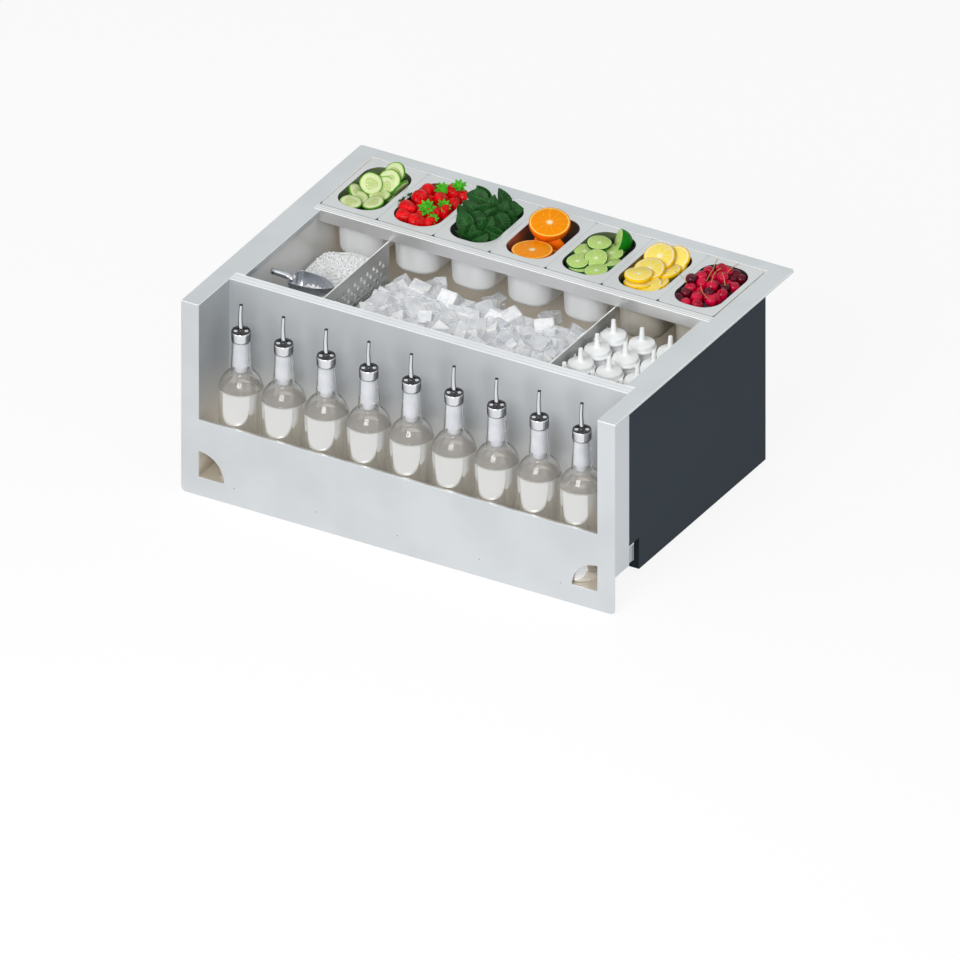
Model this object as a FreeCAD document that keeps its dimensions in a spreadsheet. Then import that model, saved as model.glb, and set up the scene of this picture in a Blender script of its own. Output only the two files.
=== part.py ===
import FreeCAD, Part
import Sketcher
import math
import os
import re

doc = FreeCAD.newDocument("CocktailStation")
sheet = doc.addObject("Spreadsheet::Sheet", "Sizes")

# Driving sizes: millimetres, degrees where the name says angle, and counts.
# A name that ends in Drop is a depth below the top of the flange.
sizes = {
    # Common to the whole station
    "sheetWall": 1.5, "overrun": 5, "seatGap": 0.3, "sideGap": 1,
    # Garnish pans: the count and pitch set the station's width
    "panCount": 7, "panPitch": 108, "panSpace": 1, "panDepth": 175, "panRim": 1.7, "panRimCorner": 6,
    "panRimSide": 10, "panRimEnd": 14.5, "panMouthCorner": 35, "panDrop": 100, "panWall": 1,
    "panTaperAngle": 3, "panFoot": 12, "panGap": 1, "recessGap": 1.5,
    # Top flange
    "flangeSide": 38, "flangeRear": 28, "flangeLip": 4, "flangeCorner": 5, "wellEdge": 12, "wellOverhang": 7,
    # Front fascia
    "fasciaFoot": 36, "postWidth": 34, "windowDrop": 220, "fasciaCorner": 10, "portRadius": 49,
    # Bottle rail
    "railDepth": 104, "railDrop": 330,
    # Rim cap between the rail and the well
    "rimWidth": 20, "rimLeg": 14,
    # Ice well
    "mouthDepth": 253, "wellSideGap": 5, "wellRearGap": 1, "floorGap": 17,
    # Ledges that carry the pans
    "ledgeWidth": 18, "apronDrop": 22, "shelfGap": 2, "shelfRiser": 2,
    # Outer casing and its insulation
    "casingGap": 9, "casingRearGap": 4.5, "casingLift": 9, "stepRise": 33, "stepSetback": 37, "foamDrop": 24,
    # Brackets in the casing's step
    "bracketHeight": 28, "bracketDepth": 20, "bracketWidth": 30, "bracketWall": 3,
    # Grate under the ice
    "grateRise": 30, "grateWall": 2, "grateHole": 12, "grateHolePitch": 42, "grateMargin": 30,
    # Drain
    "drainRadius": 16.6, "drainBore": 14, "drainSpigot": 46, "drainCollar": 18, "drainLift": 5,
    "drainSetback": 226, "strainerRadius": 35, "strainerWall": 2, "strainerHole": 2.5, "strainerRing": 10,
    "strainerHoleCount": 8, "nutRadius": 28, "nutHeight": 10, "accessRadius": 40, "drainGap": 0.4,
    # Seal tape under the flange
    "sealInset": 6, "sealGap": 7, "sealProud": 0.5,
    # Dividers and their guides
    "leftBay": 139, "rightBay": 172.3, "dividerWall": 1.5, "dividerHole": 9, "holePitch": 21, "rowPitch": 10,
    "holeMargin": 27, "guideWall": 1.5, "guideDepth": 10, "guideGap": 0.5, "guideDrop": 110,
    "floorGuideHeight": 12,
    # Ice
    "crushedFrontDrop": 70, "crushedBackDrop": 62, "cubeFrontDrop": 66, "cubeBackDrop": 88, "iceGap": 4,
    "iceBackGap": 8, "cubeSize": 34, "cubeSink": 9, "cubeRows": 4, "cubeColumns": 7, "cubeSpinAngle": 37,
    "cubeTipAngle": 16,
    # Ice scoop
    "scoopSetback": 80, "scoopSideGap": 3, "scoopEndGap": 7, "scoopRadius": 25, "scoopWall": 1.2,
    "gripLength": 42, "gripRadius": 7, "scoopTiltAngle": 6,
    # Squeeze bottles
    "squeezeRadius": 25.75, "squeezeSpace": 3.25, "squeezeFrontGap": 3.75, "squeezeShoulder": 10,
    "capRadius": 22.5, "capTopRadius": 19, "capHeight": 14, "capDrop": 49, "nozzleRadius": 4.5,
    "nozzleTipRadius": 3, "nozzleHeight": 25,
    # Bottles and pourers
    "bottleRadius": 37.6, "bottleSpace": 6.8, "bottleFrontGap": 5.9, "bottleBody": 169, "bottleShoulder": 29,
    "neckRadius": 18.5, "neckTopRadius": 15, "neckHeight": 58, "collarRadius": 16.5, "collarHeight": 19,
    "sealRingRadius": 12, "sealRingHeight": 4, "spoutRadius": 3.7, "spoutTipRadius": 2.5, "spoutHeight": 50,
    # Garnish
    "garnishBedDrop": 24, "garnishInset": 21, "cucumberRadius": 21, "cucumberWall": 5, "strawberryRadius": 16,
    "mintRadius": 17, "orangeGap": 2, "limeRadius": 24, "limeWall": 6, "lemonRadius": 28, "lemonWall": 7,
    "cherryRadius": 10.5, "sliceLeanAngle": 62, "halfLeanAngle": 24,
}
for row, (alias, number) in enumerate(sizes.items(), 1):
    sheet.set("A%d" % row, alias)
    sheet.set("B%d" % row, str(number))
    sheet.setAlias("B%d" % row, alias)
doc.recompute()

nodes = []


def expression(text):
    def named(word):
        return ("Sizes." if word.group() in sizes else "") + word.group()
    return re.sub(r"[A-Za-z]\w*", named, text)


def value(text):
    return float(sheet.evalExpression(expression(text)))


def bind(thing, **texts):
    for name, text in texts.items():
        thing.setExpression(name, expression(text))


def place(thing, x, y, z, axis=None, angle="0"):
    if axis:
        thing.Placement = FreeCAD.Placement(FreeCAD.Vector(), FreeCAD.Rotation(axis, value(angle)))
    for along, text in zip("xyz", (x, y, z)):
        thing.setExpression("Placement.Base." + along, expression(text))
    return thing


def slab(name, x, y, z):
    # A box between two faces along each axis.
    thing = doc.addObject("Part::Box", name)
    bind(thing, Length=f"({x[1]}) - ({x[0]})", Width=f"({y[1]}) - ({y[0]})", Height=f"({z[1]}) - ({z[0]})")
    return place(thing, x[0], y[0], z[0])


def rod(name, radius, x, y, z):
    # An upright cylinder between two levels.
    thing = doc.addObject("Part::Cylinder", name)
    bind(thing, Radius=radius, Height=f"({z[1]}) - ({z[0]})")
    return place(thing, x, y, z[0])


def taper(name, lower, upper, x, y, z):
    # An upright cone between two levels.
    thing = doc.addObject("Part::Cone", name)
    bind(thing, Radius1=lower, Radius2=upper, Height=f"({z[1]}) - ({z[0]})")
    return place(thing, x, y, z[0])


def cut(name, base, tool):
    thing = doc.addObject("Part::Cut", name)
    thing.Base = base
    thing.Tool = tool
    return thing


def fuse(name, shapes):
    thing = doc.addObject("Part::MultiFuse", name)
    thing.Shapes = shapes
    thing.Refine = True
    return thing


def group(name, shapes):
    thing = doc.addObject("Part::Compound", name)
    thing.Links = shapes
    return thing


def feature(name, shape):
    thing = doc.addObject("Part::Feature", name)
    thing.Shape = shape
    return thing


def keep(thing, label):
    thing.Label = label
    nodes.append(thing)
    return thing


# The station's own faces, as expressions in the part's frame: origin under the middle, at the fascia's foot.
panMouthWidth = "(panPitch - panSpace - 2 * panRimSide)"
panMouthDepth = "(panDepth - 2 * panRimEnd)"
recessRight = "(panCount * panPitch / 2 + recessGap)"
recessLeft = f"(-{recessRight})"
right = f"({recessRight} + flangeSide)"
left = f"(-{right})"
depth = "(railDepth + rimWidth + mouthDepth + ledgeWidth + panDepth + 2 * panGap + flangeRear)"
front = f"(-{depth} / 2)"
back = f"({depth} / 2)"
top = "(railDrop + fasciaFoot)"
under = f"({top} - sheetWall)"
railRight = f"({right} - postWidth)"
railLeft = f"(-{railRight})"
railBack = f"({front} + railDepth)"
railFloor = "fasciaFoot"
apron = f"({railBack} + rimWidth + mouthDepth)"
ledgeRear = f"({apron} + ledgeWidth)"
recessRear = f"({ledgeRear} + panDepth + 2 * panGap)"
panRow = f"({ledgeRear} + panGap + panDepth / 2)"
shelf = f"({top} - panRim - seatGap)"
shelfUnder = f"({shelf} - sheetWall)"
shelfSide = "(recessGap + panSpace / 2 + panRimSide - panWall - shelfGap)"
shelfEnd = "(panGap + panRimEnd - panWall - shelfGap)"
step = f"({railFloor} + stepRise)"
wellRight = f"({recessRight} - {shelfSide} - shelfGap + wellSideGap)"
wellLeft = f"(-{wellRight})"
mouthRight = f"({wellRight} - wellOverhang)"
mouthLeft = f"(-{mouthRight})"
wellFront = f"({railBack} + rimWidth + sheetWall)"
wellRear = f"({recessRear} - {shelfEnd} - shelfGap + wellRearGap)"
wellFloor = f"({step} + floorGap)"
grateTop = f"({wellFloor} + grateRise)"
casingRight = f"({wellRight} + casingGap)"
casingLeft = f"(-{casingRight})"
casingRear = f"({wellRear} + casingRearGap)"
casingFoot = "casingLift"
stepFront = f"({railBack} + stepSetback)"
drainSpot = ("0", f"{railBack} + drainSetback")
leftDivider = f"({wellLeft} + leftBay)"
rightDivider = f"({wellRight} - rightBay)"
dividerTop = f"({top} - apronDrop)"
guideHalf = "(dividerWall / 2 + guideGap + guideWall)"


def topFlange():
    # A flat sheet with a turned-down lip on three sides, open over the rail, the well and the pans.
    body = doc.addObject("PartDesign::Body", "FlangeSheet")
    plane = [item for item in body.Origin.OriginFeatures if item.Role == "XY_Plane"][0]
    outline = body.newObject("Sketcher::SketchObject", "FlangeOutline")
    outline.AttachmentSupport = [(plane, "")]
    outline.MapMode = "FlatFace"
    halfWidth, halfDepth = value(right), value(back)
    corners = [(-halfWidth, -halfDepth), (halfWidth, -halfDepth),
               (halfWidth, halfDepth), (-halfWidth, halfDepth)]
    for number, corner in enumerate(corners):
        ends = [FreeCAD.Vector(*corner), FreeCAD.Vector(*corners[(number + 1) % len(corners)])]
        outline.addGeometry(Part.LineSegment(*ends))
    for number in range(len(corners)):
        outline.addConstraint(Sketcher.Constraint("Coincident", number, 2, (number + 1) % len(corners), 1))
        outline.addConstraint(Sketcher.Constraint(("Horizontal", "Vertical")[number % 2], number))
    outline.addConstraint(Sketcher.Constraint("Symmetric", 0, 1, 2, 1, -1, 1))
    across = outline.addConstraint(Sketcher.Constraint("DistanceX", 0, 1, 0, 2, 2 * halfWidth))
    along = outline.addConstraint(Sketcher.Constraint("DistanceY", 1, 1, 1, 2, 2 * halfDepth))
    outline.setExpression("Constraints[%d]" % across, expression(f"2 * {right}"))
    outline.setExpression("Constraints[%d]" % along, expression(depth))
    pad = body.newObject("PartDesign::Pad", "FlangePad")
    pad.Profile = outline
    pad.Reversed = True
    bind(pad, Length="flangeLip")
    doc.recompute()
    rear = [number for number, edge in enumerate(pad.Shape.Edges, 1)
            if edge.BoundBox.ZLength > edge.BoundBox.XLength and edge.BoundBox.YMin > 0]
    corner = body.newObject("PartDesign::Fillet", "FlangeCorners")
    corner.Base = (pad, ["Edge%d" % number for number in rear])
    bind(corner, Radius="flangeCorner")
    body.Tip = corner
    place(body, "0", "0", top)
    hollow = slab("FlangeHollow", (f"{left} + sheetWall", f"{right} - sheetWall"),
                  (f"{front} - overrun", f"{back} - sheetWall"), (f"{top} - flangeLip - overrun", under))
    over = (f"{top} - wellEdge - overrun", f"{top} + overrun")
    railMouth = slab("RailMouth", (railLeft, railRight), (f"{front} - overrun", wellFront), over)
    wellMouth = slab("WellMouth", (mouthLeft, mouthRight), (f"{wellFront} - overrun", apron), over)
    panMouth = slab("PanMouth", (recessLeft, recessRight), (apron, recessRear), over)
    fasciaSeat = slab("FasciaSeat", (f"{left} - overrun", f"{right} + overrun"),
                      (f"{front} - overrun", f"{front} + sheetWall"), (f"{top} - flangeLip - overrun", under))
    openings = fuse("FlangeOpenings", [hollow, railMouth, wellMouth, panMouth, fasciaSeat])
    sheetOnly = cut("FlangeFlat", body, openings)
    edges = []
    for name, near in (("WellEdgeLeft", f"{mouthLeft} - sheetWall"), ("WellEdgeRight", mouthRight)):
        span = (near, f"{near} + sheetWall")
        edges.append(slab(name, span, (wellFront, apron), (f"{top} - wellEdge", f"{top} - sheetWall / 2")))
    keep(fuse("TopFlange", [sheetOnly] + edges), "top_flange")


def frontFascia():
    # A flat front with rounded lower corners, a wide window and two quarter-round corner windows.
    faces = (front, f"{front} + sheetWall")
    lower = slab("FasciaFoot", (f"{left} + fasciaCorner", f"{right} - fasciaCorner"), faces,
                 ("0", "fasciaCorner"))
    upper = slab("FasciaFace", (left, right), faces, ("fasciaCorner", under))
    rounds = []
    tools = [slab("FasciaWindow", (railLeft, railRight), (f"{front} - overrun", f"{front} + overrun"),
                  (f"{top} - windowDrop", f"{top} + overrun"))]
    turned = FreeCAD.Vector(1, 0, 0)
    ends = (("Left", f"{left} + fasciaCorner", railLeft), ("Right", f"{right} - fasciaCorner", railRight))
    for name, corner, port in ends:
        disc = doc.addObject("Part::Cylinder", "FasciaCorner" + name)
        bind(disc, Radius="fasciaCorner", Height="sheetWall")
        rounds.append(place(disc, corner, faces[1], "fasciaCorner", turned, "90"))
        quarter = doc.addObject("Part::Cylinder", "Port" + name)
        bind(quarter, Radius="portRadius", Height="2 * overrun")
        place(quarter, port, f"{front} + overrun", railFloor, turned, "90")
        inward = (port, f"{port} + portRadius") if name == "Left" else (f"{port} - portRadius", port)
        square = slab("PortSquare" + name, inward, (f"{front} - overrun", f"{front} + overrun"),
                      (railFloor, f"{railFloor} + portRadius"))
        corner = doc.addObject("Part::MultiCommon", "PortCut" + name)
        corner.Shapes = [quarter, square]
        tools.append(corner)
    plate = fuse("FasciaPlate", [lower, upper] + rounds)
    keep(cut("FrontFascia", plate, fuse("FasciaOpenings", tools)), "front_fascia")


def railTrough():
    # Floor, ends and back of the bottle rail; the fascia closes its front.
    faces = (f"{front} + sheetWall", railBack)
    outer = slab("RailOuter", (f"{railLeft} - sheetWall", f"{railRight} + sheetWall"), faces,
                 (f"{railFloor} - sheetWall", under))
    inner = slab("RailInner", (railLeft, railRight), (f"{front} - overrun", f"{railBack} - sheetWall"),
                 (railFloor, f"{top} + overrun"))
    keep(cut("RailTrough", outer, inner), "rail_trough")


def rimCap():
    # An inverted channel over the rail's back wall and the well's front wall.
    across = (railLeft, railRight)
    cap = slab("RimTop", across, (f"{railBack} - sheetWall", wellFront), (under, top))
    legs = []
    places = (("RimLegFront", f"{railBack} + sheetWall"), ("RimLegBack", f"{wellFront} - 2 * sheetWall"))
    for name, near in places:
        legs.append(slab(name, (casingLeft + " + 2 * sheetWall", casingRight + " - 2 * sheetWall"),
                         (near, f"{near} + sheetWall"), (f"{top} - rimLeg", f"{top} - sheetWall / 2")))
    keep(fuse("RimCap", [cap] + legs), "rim_cap")


def iceWell():
    # The welded liner, open at the top, with a hole for the drain in its floor.
    outer = slab("WellOuter", (f"{wellLeft} - sheetWall", f"{wellRight} + sheetWall"),
                 (f"{wellFront} - sheetWall", f"{wellRear} + sheetWall"),
                 (f"{wellFloor} - sheetWall", shelfUnder))
    inner = slab("WellInner", (wellLeft, wellRight), (wellFront, wellRear), (wellFloor, f"{top} + overrun"))
    hole = rod("WellDrain", "drainCollar + drainGap", *drainSpot,
               (f"{wellFloor} - sheetWall - overrun", f"{wellFloor} + overrun"))
    keep(cut("IceWell", outer, fuse("WellSpace", [inner, hole])), "ice_well")


def garnishLedge():
    # The strip and apron in front of the pans, stepped down to a shelf under their front rims.
    across = (recessLeft, recessRight)
    front = (apron, f"{apron} + sheetWall")
    face = slab("ApronFace", across, front, (shelfUnder, top))
    skirt = slab("ApronSkirt", (f"{wellLeft} + sideGap", f"{wellRight} - sideGap"), front,
                 (f"{top} - apronDrop", top))
    strip = slab("LedgeStrip", across, (apron, ledgeRear), (under, top))
    riser = slab("LedgeRiser", across, (f"{ledgeRear} - sheetWall", ledgeRear), (shelfUnder, top))
    lip = slab("LedgeLip", across, (f"{ledgeRear} - sheetWall", f"{ledgeRear} + {shelfEnd}"),
               (shelfUnder, shelf))
    keep(fuse("GarnishLedge", [face, skirt, strip, riser, lip]), "garnish_ledge")


def rearLedge():
    # A stepped frame under the flange that carries the pans' rims at the sides and the back.
    outer = slab("ShelfOuter", (f"{recessLeft} - shelfRiser", f"{recessRight} + shelfRiser"),
                 (f"{ledgeRear} + {shelfEnd}", f"{recessRear} + shelfRiser"), (shelfUnder, under))
    rebate = slab("ShelfRebate", (recessLeft, recessRight), (apron, recessRear), (shelf, f"{top} + overrun"))
    middle = slab("ShelfMiddle", (f"{recessLeft} + {shelfSide}", f"{recessRight} - {shelfSide}"),
                  (apron, f"{recessRear} - {shelfEnd}"), (f"{shelfUnder} - overrun", f"{top} + overrun"))
    keep(cut("RearLedge", outer, fuse("ShelfSpace", [rebate, middle])), "rear_ledge")


def casingShape(name, inset, roof):
    # The casing's stepped outline, moved inwards by the inset.
    across = (f"{casingLeft} + {inset}", f"{casingRight} - {inset}")
    rear = f"{casingRear} - {inset}"
    upper = slab(name + "Upper", across, (f"{railBack} + {inset}", rear), (f"{step} + {inset}", roof))
    lower = slab(name + "Lower", across, (f"{stepFront} + {inset}", rear), (f"{casingFoot} + {inset}", roof))
    return fuse(name, [upper, lower])


def outerCasing():
    # Folded sheet round the well, with a round access hole under the drain.
    access = rod("AccessHole", "accessRadius", *drainSpot,
                 (f"{casingFoot} - overrun", f"{casingFoot} + overrun"))
    inside = casingShape("CasingInside", "sheetWall", f"{top} + overrun")
    shell = cut("CasingShell", casingShape("CasingOutside", "0", shelfUnder), inside)
    keep(cut("OuterCasing", shell, access), "outer_casing")


def insulation():
    # Foam that fills the space between the well and the casing, clear of the drain.
    inside = casingShape("FoamBlock", "sheetWall", f"{top} - foamDrop")
    well = slab("FoamWell", (f"{wellLeft} - sheetWall", f"{wellRight} + sheetWall"),
                (f"{wellFront} - sheetWall", f"{wellRear} + sheetWall"),
                (f"{wellFloor} - sheetWall", f"{top} + overrun"))
    shaft = rod("FoamShaft", "accessRadius", *drainSpot, (f"{casingFoot} - overrun", wellFloor))
    keep(cut("Insulation", inside, fuse("FoamSpace", [well, shaft])), "insulation")


def joiningBrackets():
    # Angle brackets in the casing's step that tie it to the rail's back wall.
    brackets = []
    for name, near in (("Left", casingLeft), ("Right", f"({casingRight} - bracketWidth)")):
        across = (near, f"{near} + bracketWidth")
        wall = slab("BracketWall" + name, across, (railBack, f"{railBack} + bracketWall"),
                    (f"{step} - bracketHeight", step))
        seat = slab("BracketSeat" + name, across, (railBack, f"{railBack} + bracketDepth"),
                    (f"{step} - bracketWall", step))
        brackets.append(fuse("Bracket" + name, [wall, seat]))
    keep(group("JoiningBrackets", brackets), "joining_brackets")


def flangeSeal():
    # A tape under the flange's overhang, along both sides and the back.
    level = (f"{top} - flangeLip - sealProud", under)
    start = f"{front} + railDepth / 2"
    inside = f"({casingRight} + sealGap)"
    outer = slab("SealOuter", (f"{left} + sealInset", f"{right} - sealInset"),
                 (start, f"{back} - sealInset"), level)
    inner = slab("SealInner", (f"-{inside}", inside),
                 (f"{start} - overrun", f"{recessRear} + shelfRiser + sideGap"),
                 (f"{level[0]} - overrun", f"{level[1]} + overrun"))
    keep(cut("FlangeSeal", outer, inner), "flange_seal")


def iceGrate():
    # The false floor under the ice: a perforated plate on two turned-down sides.
    across = (f"{wellLeft} + sideGap", f"{wellRight} - sideGap")
    along = (f"{wellFront} + sideGap", f"{wellRear} - sideGap")
    plate = slab("GratePlate", across, along, (f"{grateTop} - grateWall", grateTop))
    legs = []
    for name, near in (("GrateLegLeft", across[0]), ("GrateLegRight", f"{across[1]} - grateWall")):
        span = (near, f"{near} + grateWall")
        legs.append(slab(name, span, along, (wellFloor, f"{grateTop} - grateWall / 2")))
    length, depth = value(f"{across[1]} - {across[0]}"), value(f"{along[1]} - {along[0]}")
    pitch = value("grateHolePitch")
    columns = int((length - 2 * value("grateMargin")) / pitch) + 1
    rows = int((depth - 2 * value("grateMargin")) / pitch) + 1
    drills = []
    for row in range(rows):
        for column in range(columns):
            spot = FreeCAD.Vector((column - (columns - 1) / 2) * pitch,
                                  value(f"({along[0]} + {along[1]}) / 2") + (row - (rows - 1) / 2) * pitch,
                                  value(f"{grateTop} - grateWall - overrun"))
            drills.append(Part.makeCylinder(value("grateHole / 2"), value("grateWall + 2 * overrun"), spot))
    floor = fuse("GrateFloor", [plate] + legs)
    keep(cut("IceGrate", floor, feature("GrateHoles", Part.makeCompound(drills))), "ice_grate")


def drain():
    # Strainer on the well's floor, tail through it, and the nut that clamps it from below.
    spot = drainSpot
    disc = rod("StrainerDisc", "strainerRadius", *spot, (wellFloor, f"{wellFloor} + strainerWall"))
    drills = []
    count = int(value("strainerHoleCount"))
    for number in range(count):
        turn = 2 * math.pi * number / count
        centre = FreeCAD.Vector(value("strainerRing") * math.cos(turn),
                                value(spot[1]) + value("strainerRing") * math.sin(turn),
                                value(f"{wellFloor} - overrun"))
        drills.append(Part.makeCylinder(value("strainerHole"), value("strainerWall + 2 * overrun"), centre))
    keep(cut("DrainStrainer", disc, feature("StrainerHoles", Part.makeCompound(drills))), "drain_strainer")
    end = f"({casingFoot} + drainLift)"
    spigot = rod("DrainSpigot", "drainRadius", *spot, (end, f"{end} + drainSpigot"))
    thread = rod("DrainThread", "drainCollar", *spot, (f"{end} + drainSpigot", wellFloor))
    bore = rod("DrainBore", "drainBore", *spot, (f"{end} - overrun", f"{wellFloor} + overrun"))
    keep(cut("DrainTail", fuse("DrainTube", [spigot, thread]), bore), "drain_tail")
    nut = doc.addObject("Part::Prism", "NutBlank")
    bind(nut, Circumradius="nutRadius", Height="nutHeight")
    place(nut, *spot, f"{wellFloor} - sheetWall - nutHeight")
    hole = rod("NutBore", "drainCollar + drainGap", *spot, (end, wellFloor))
    keep(cut("DrainNut", nut, hole), "drain_nut")


def divider(label, middle):
    # A perforated plate whose staggered holes start below its top edge.
    along = (f"{wellFront} + sideGap", f"{apron} - sideGap")
    level = (f"{grateTop} + guideWall + seatGap", dividerTop)
    faces = (f"{middle} - dividerWall / 2", f"{middle} + dividerWall / 2")
    plate = slab(label + "Plate", faces, along, level)
    depth = value(f"{along[1]} - ({along[0]})")
    rows = int((value(f"{level[1]} - ({level[0]})") - 2 * value("holeMargin")) / value("rowPitch")) + 1
    columns = int((depth - value("holePitch")) / value("holePitch"))
    near, centre = value(f"{middle} - overrun"), value(f"({along[0]} + {along[1]}) / 2")
    through = FreeCAD.Vector(1, 0, 0)
    drills = []
    for row in range(rows):
        count = columns + row % 2
        for column in range(count):
            spot = FreeCAD.Vector(near, centre + (column - (count - 1) / 2) * value("holePitch"),
                                  value(f"{level[1]} - holeMargin") - row * value("rowPitch"))
            drills.append(Part.makeCylinder(value("dividerHole / 2"), value("2 * overrun"), spot, through))
    keep(cut(label.title(), plate, feature(label + "Holes", Part.makeCompound(drills))), label)


def dividerGuides():
    # Upright channels on the well's front wall and channels along the grate that hold the dividers' edges.
    channels = []
    for name, middle in (("Left", leftDivider), ("Right", rightDivider)):
        outer = (f"{middle} - {guideHalf}", f"{middle} + {guideHalf}")
        inner = (f"{middle} - {guideHalf} + guideWall", f"{middle} + {guideHalf} - guideWall")
        post = slab("GuidePost" + name, outer, (wellFront, f"{wellFront} + guideDepth"),
                    (f"{grateTop} + floorGuideHeight", f"{top} - guideDrop"))
        slot = slab("GuideSlot" + name, inner,
                    (f"{wellFront} + sideGap / 2", f"{wellFront} + guideDepth + overrun"), (grateTop, top))
        channels.append(cut("FrontGuide" + name, post, slot))
        base = slab("GuideBase" + name, outer, (wellFront + " + sideGap", f"{apron} - sideGap"),
                    (grateTop, f"{grateTop} + floorGuideHeight"))
        groove = slab("GuideGroove" + name, inner, (wellFront, apron), (f"{grateTop} + guideWall", top))
        channels.append(cut("FloorGuide" + name, base, groove))
    keep(group("DividerGuides", channels), "divider_guides")


iceFront = f"({wellFront} + iceGap)"
iceRear = f"({ledgeRear} - iceBackGap)"


def iceHeap(name, near, far, frontDrop, backDrop):
    # A heap between two uprights whose top slopes from front to back.
    points = [(iceFront, grateTop), (iceRear, grateTop),
              (iceRear, f"{top} - {backDrop}"), (iceFront, f"{top} - {frontDrop}")]
    outline = [FreeCAD.Vector(value(near), value(y), value(z)) for y, z in points]
    face = Part.Face(Part.makePolygon(outline + outline[:1]))
    return feature(name, face.extrude(FreeCAD.Vector(value(f"{far} - ({near})"), 0, 0)))


def iceCubes(near, far, frontDrop, backDrop):
    # Staggered rows of cubes half sunk in a heap's slope, each turned its own way.
    cubes = []
    reach = "(cubeSize * sqrt(3) / 2)"
    edge = value("cubeSize")
    block = Part.makeBox(edge, edge, edge, FreeCAD.Vector(-edge / 2, -edge / 2, -edge / 2))
    for row in range(int(value("cubeRows"))):
        backShare = f"({row} / (cubeRows - 1))"
        y = f"{iceFront} + {reach} + {backShare} * ({iceRear} - {iceFront} - 2 * {reach})"
        slope = f"({frontDrop} + ({y} - {iceFront}) / ({iceRear} - {iceFront}) * ({backDrop} - {frontDrop}))"
        for column in range(int(value("cubeColumns")) - row % 2):
            acrossShare = f"(({column} + {row % 2} / 2) / (cubeColumns - 1))"
            x = f"{near} + {reach} + {acrossShare} * ({far} - ({near}) - 2 * {reach})"
            spin = value("cubeSpinAngle") * (3 * row + 2 * column + 1)
            tip = value("cubeTipAngle") * (1 + (row + 2 * column) % 3)
            cube = feature("IceCube%d%d" % (row + 1, column + 1), block)
            spot = FreeCAD.Vector(value(x), value(y), value(f"{top} - {slope} - cubeSink"))
            cube.Placement = FreeCAD.Placement(spot, FreeCAD.Rotation(spin, tip, 0))
            cubes.append(cube)
    return cubes


def ice():
    beside = f"({guideHalf} + iceGap)"
    crushed = iceHeap("CrushedIce", f"{wellLeft} + iceGap", f"{leftDivider} - {beside}",
                      "crushedFrontDrop", "crushedBackDrop")
    keep(crushed, "crushed_ice")
    span = (f"{leftDivider} + {beside}", f"{rightDivider} - {beside}", "cubeFrontDrop", "cubeBackDrop")
    keep(fuse("CubeIce", [iceHeap("CubeHeap", *span)] + iceCubes(*span)), "cube_ice")


def iceScoop():
    # A round-bottomed bowl, open on top and at its mouth, with a straight grip behind it.
    along = FreeCAD.Vector(0, 1, 0)
    length = "(leftBay - wellOverhang - scoopSideGap - gripLength - scoopEndGap)"
    outer = doc.addObject("Part::Cylinder", "ScoopOuter")
    bind(outer, Radius="scoopRadius", Height=length)
    place(outer, "0", "0", "0", along, "90")
    inner = doc.addObject("Part::Cylinder", "ScoopInner")
    bind(inner, Radius="scoopRadius - scoopWall", Height=length)
    place(inner, "scoopWall", "0", "0", along, "90")
    lid = slab("ScoopLid", ("-overrun", f"{length} + overrun"),
               ("-scoopRadius - overrun", "scoopRadius + overrun"),
               ("scoopRadius / 3", "scoopRadius + overrun"))
    bowl = cut("ScoopBowl", outer, fuse("ScoopSpace", [inner, lid]))
    grip = doc.addObject("Part::Cylinder", "ScoopGrip")
    bind(grip, Radius="gripRadius", Height="gripLength")
    place(grip, "-gripLength + scoopWall / 2", "0", "0", along, "90")
    whole = fuse("IceScoop", [bowl, grip])
    rise = f"(crushedFrontDrop - crushedBackDrop) * (scoopSetback - iceGap) / ({iceRear} - {iceFront})"
    place(whole, f"{mouthLeft} + scoopSideGap + gripLength", f"{wellFront} + scoopSetback",
          f"{top} - crushedFrontDrop + {rise} + scoopRadius + seatGap", along, "-scoopTiltAngle")
    keep(whole, "ice_scoop")


def squeezeBottles():
    # Round bottles in rows, each closed by a cap with a tapered nozzle.
    bottles, caps = [], []
    neck = f"({top} - capDrop)"
    pitch = "(2 * squeezeRadius + squeezeSpace)"
    nearX = f"({rightDivider} + {guideHalf} + sideGap)"
    nearY = f"({wellFront} + squeezeFrontGap)"
    columns = int(value(f"({wellRight} - {nearX} + squeezeSpace) / {pitch}"))
    rows = int(value(f"({apron} - {nearY} + squeezeSpace) / {pitch}"))
    for column in range(columns):
        for row in range(rows):
            tag = "%d%d" % (column + 1, row + 1)
            spot = (f"{nearX} + squeezeRadius + {column} * {pitch}",
                    f"{nearY} + squeezeRadius + {row} * {pitch}")
            barrel = rod("SqueezeBarrel" + tag, "squeezeRadius", *spot,
                         (grateTop, f"{neck} - squeezeShoulder"))
            crown = taper("SqueezeCrown" + tag, "squeezeRadius", "capTopRadius", *spot,
                          (f"{neck} - squeezeShoulder", neck))
            bottles.append(fuse("Squeeze" + tag, [barrel, crown]))
            cap = taper("CapSkirt" + tag, "capRadius", "capTopRadius", *spot, (neck, f"{neck} + capHeight"))
            nozzle = taper("Nozzle" + tag, "nozzleRadius", "nozzleTipRadius", *spot,
                           (f"{neck} + capHeight", f"{neck} + capHeight + nozzleHeight"))
            caps.append(fuse("Cap" + tag, [cap, nozzle]))
    keep(group("SqueezeBottles", bottles), "squeeze_bottles")
    keep(group("SqueezeCaps", caps), "squeeze_caps")


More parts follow.
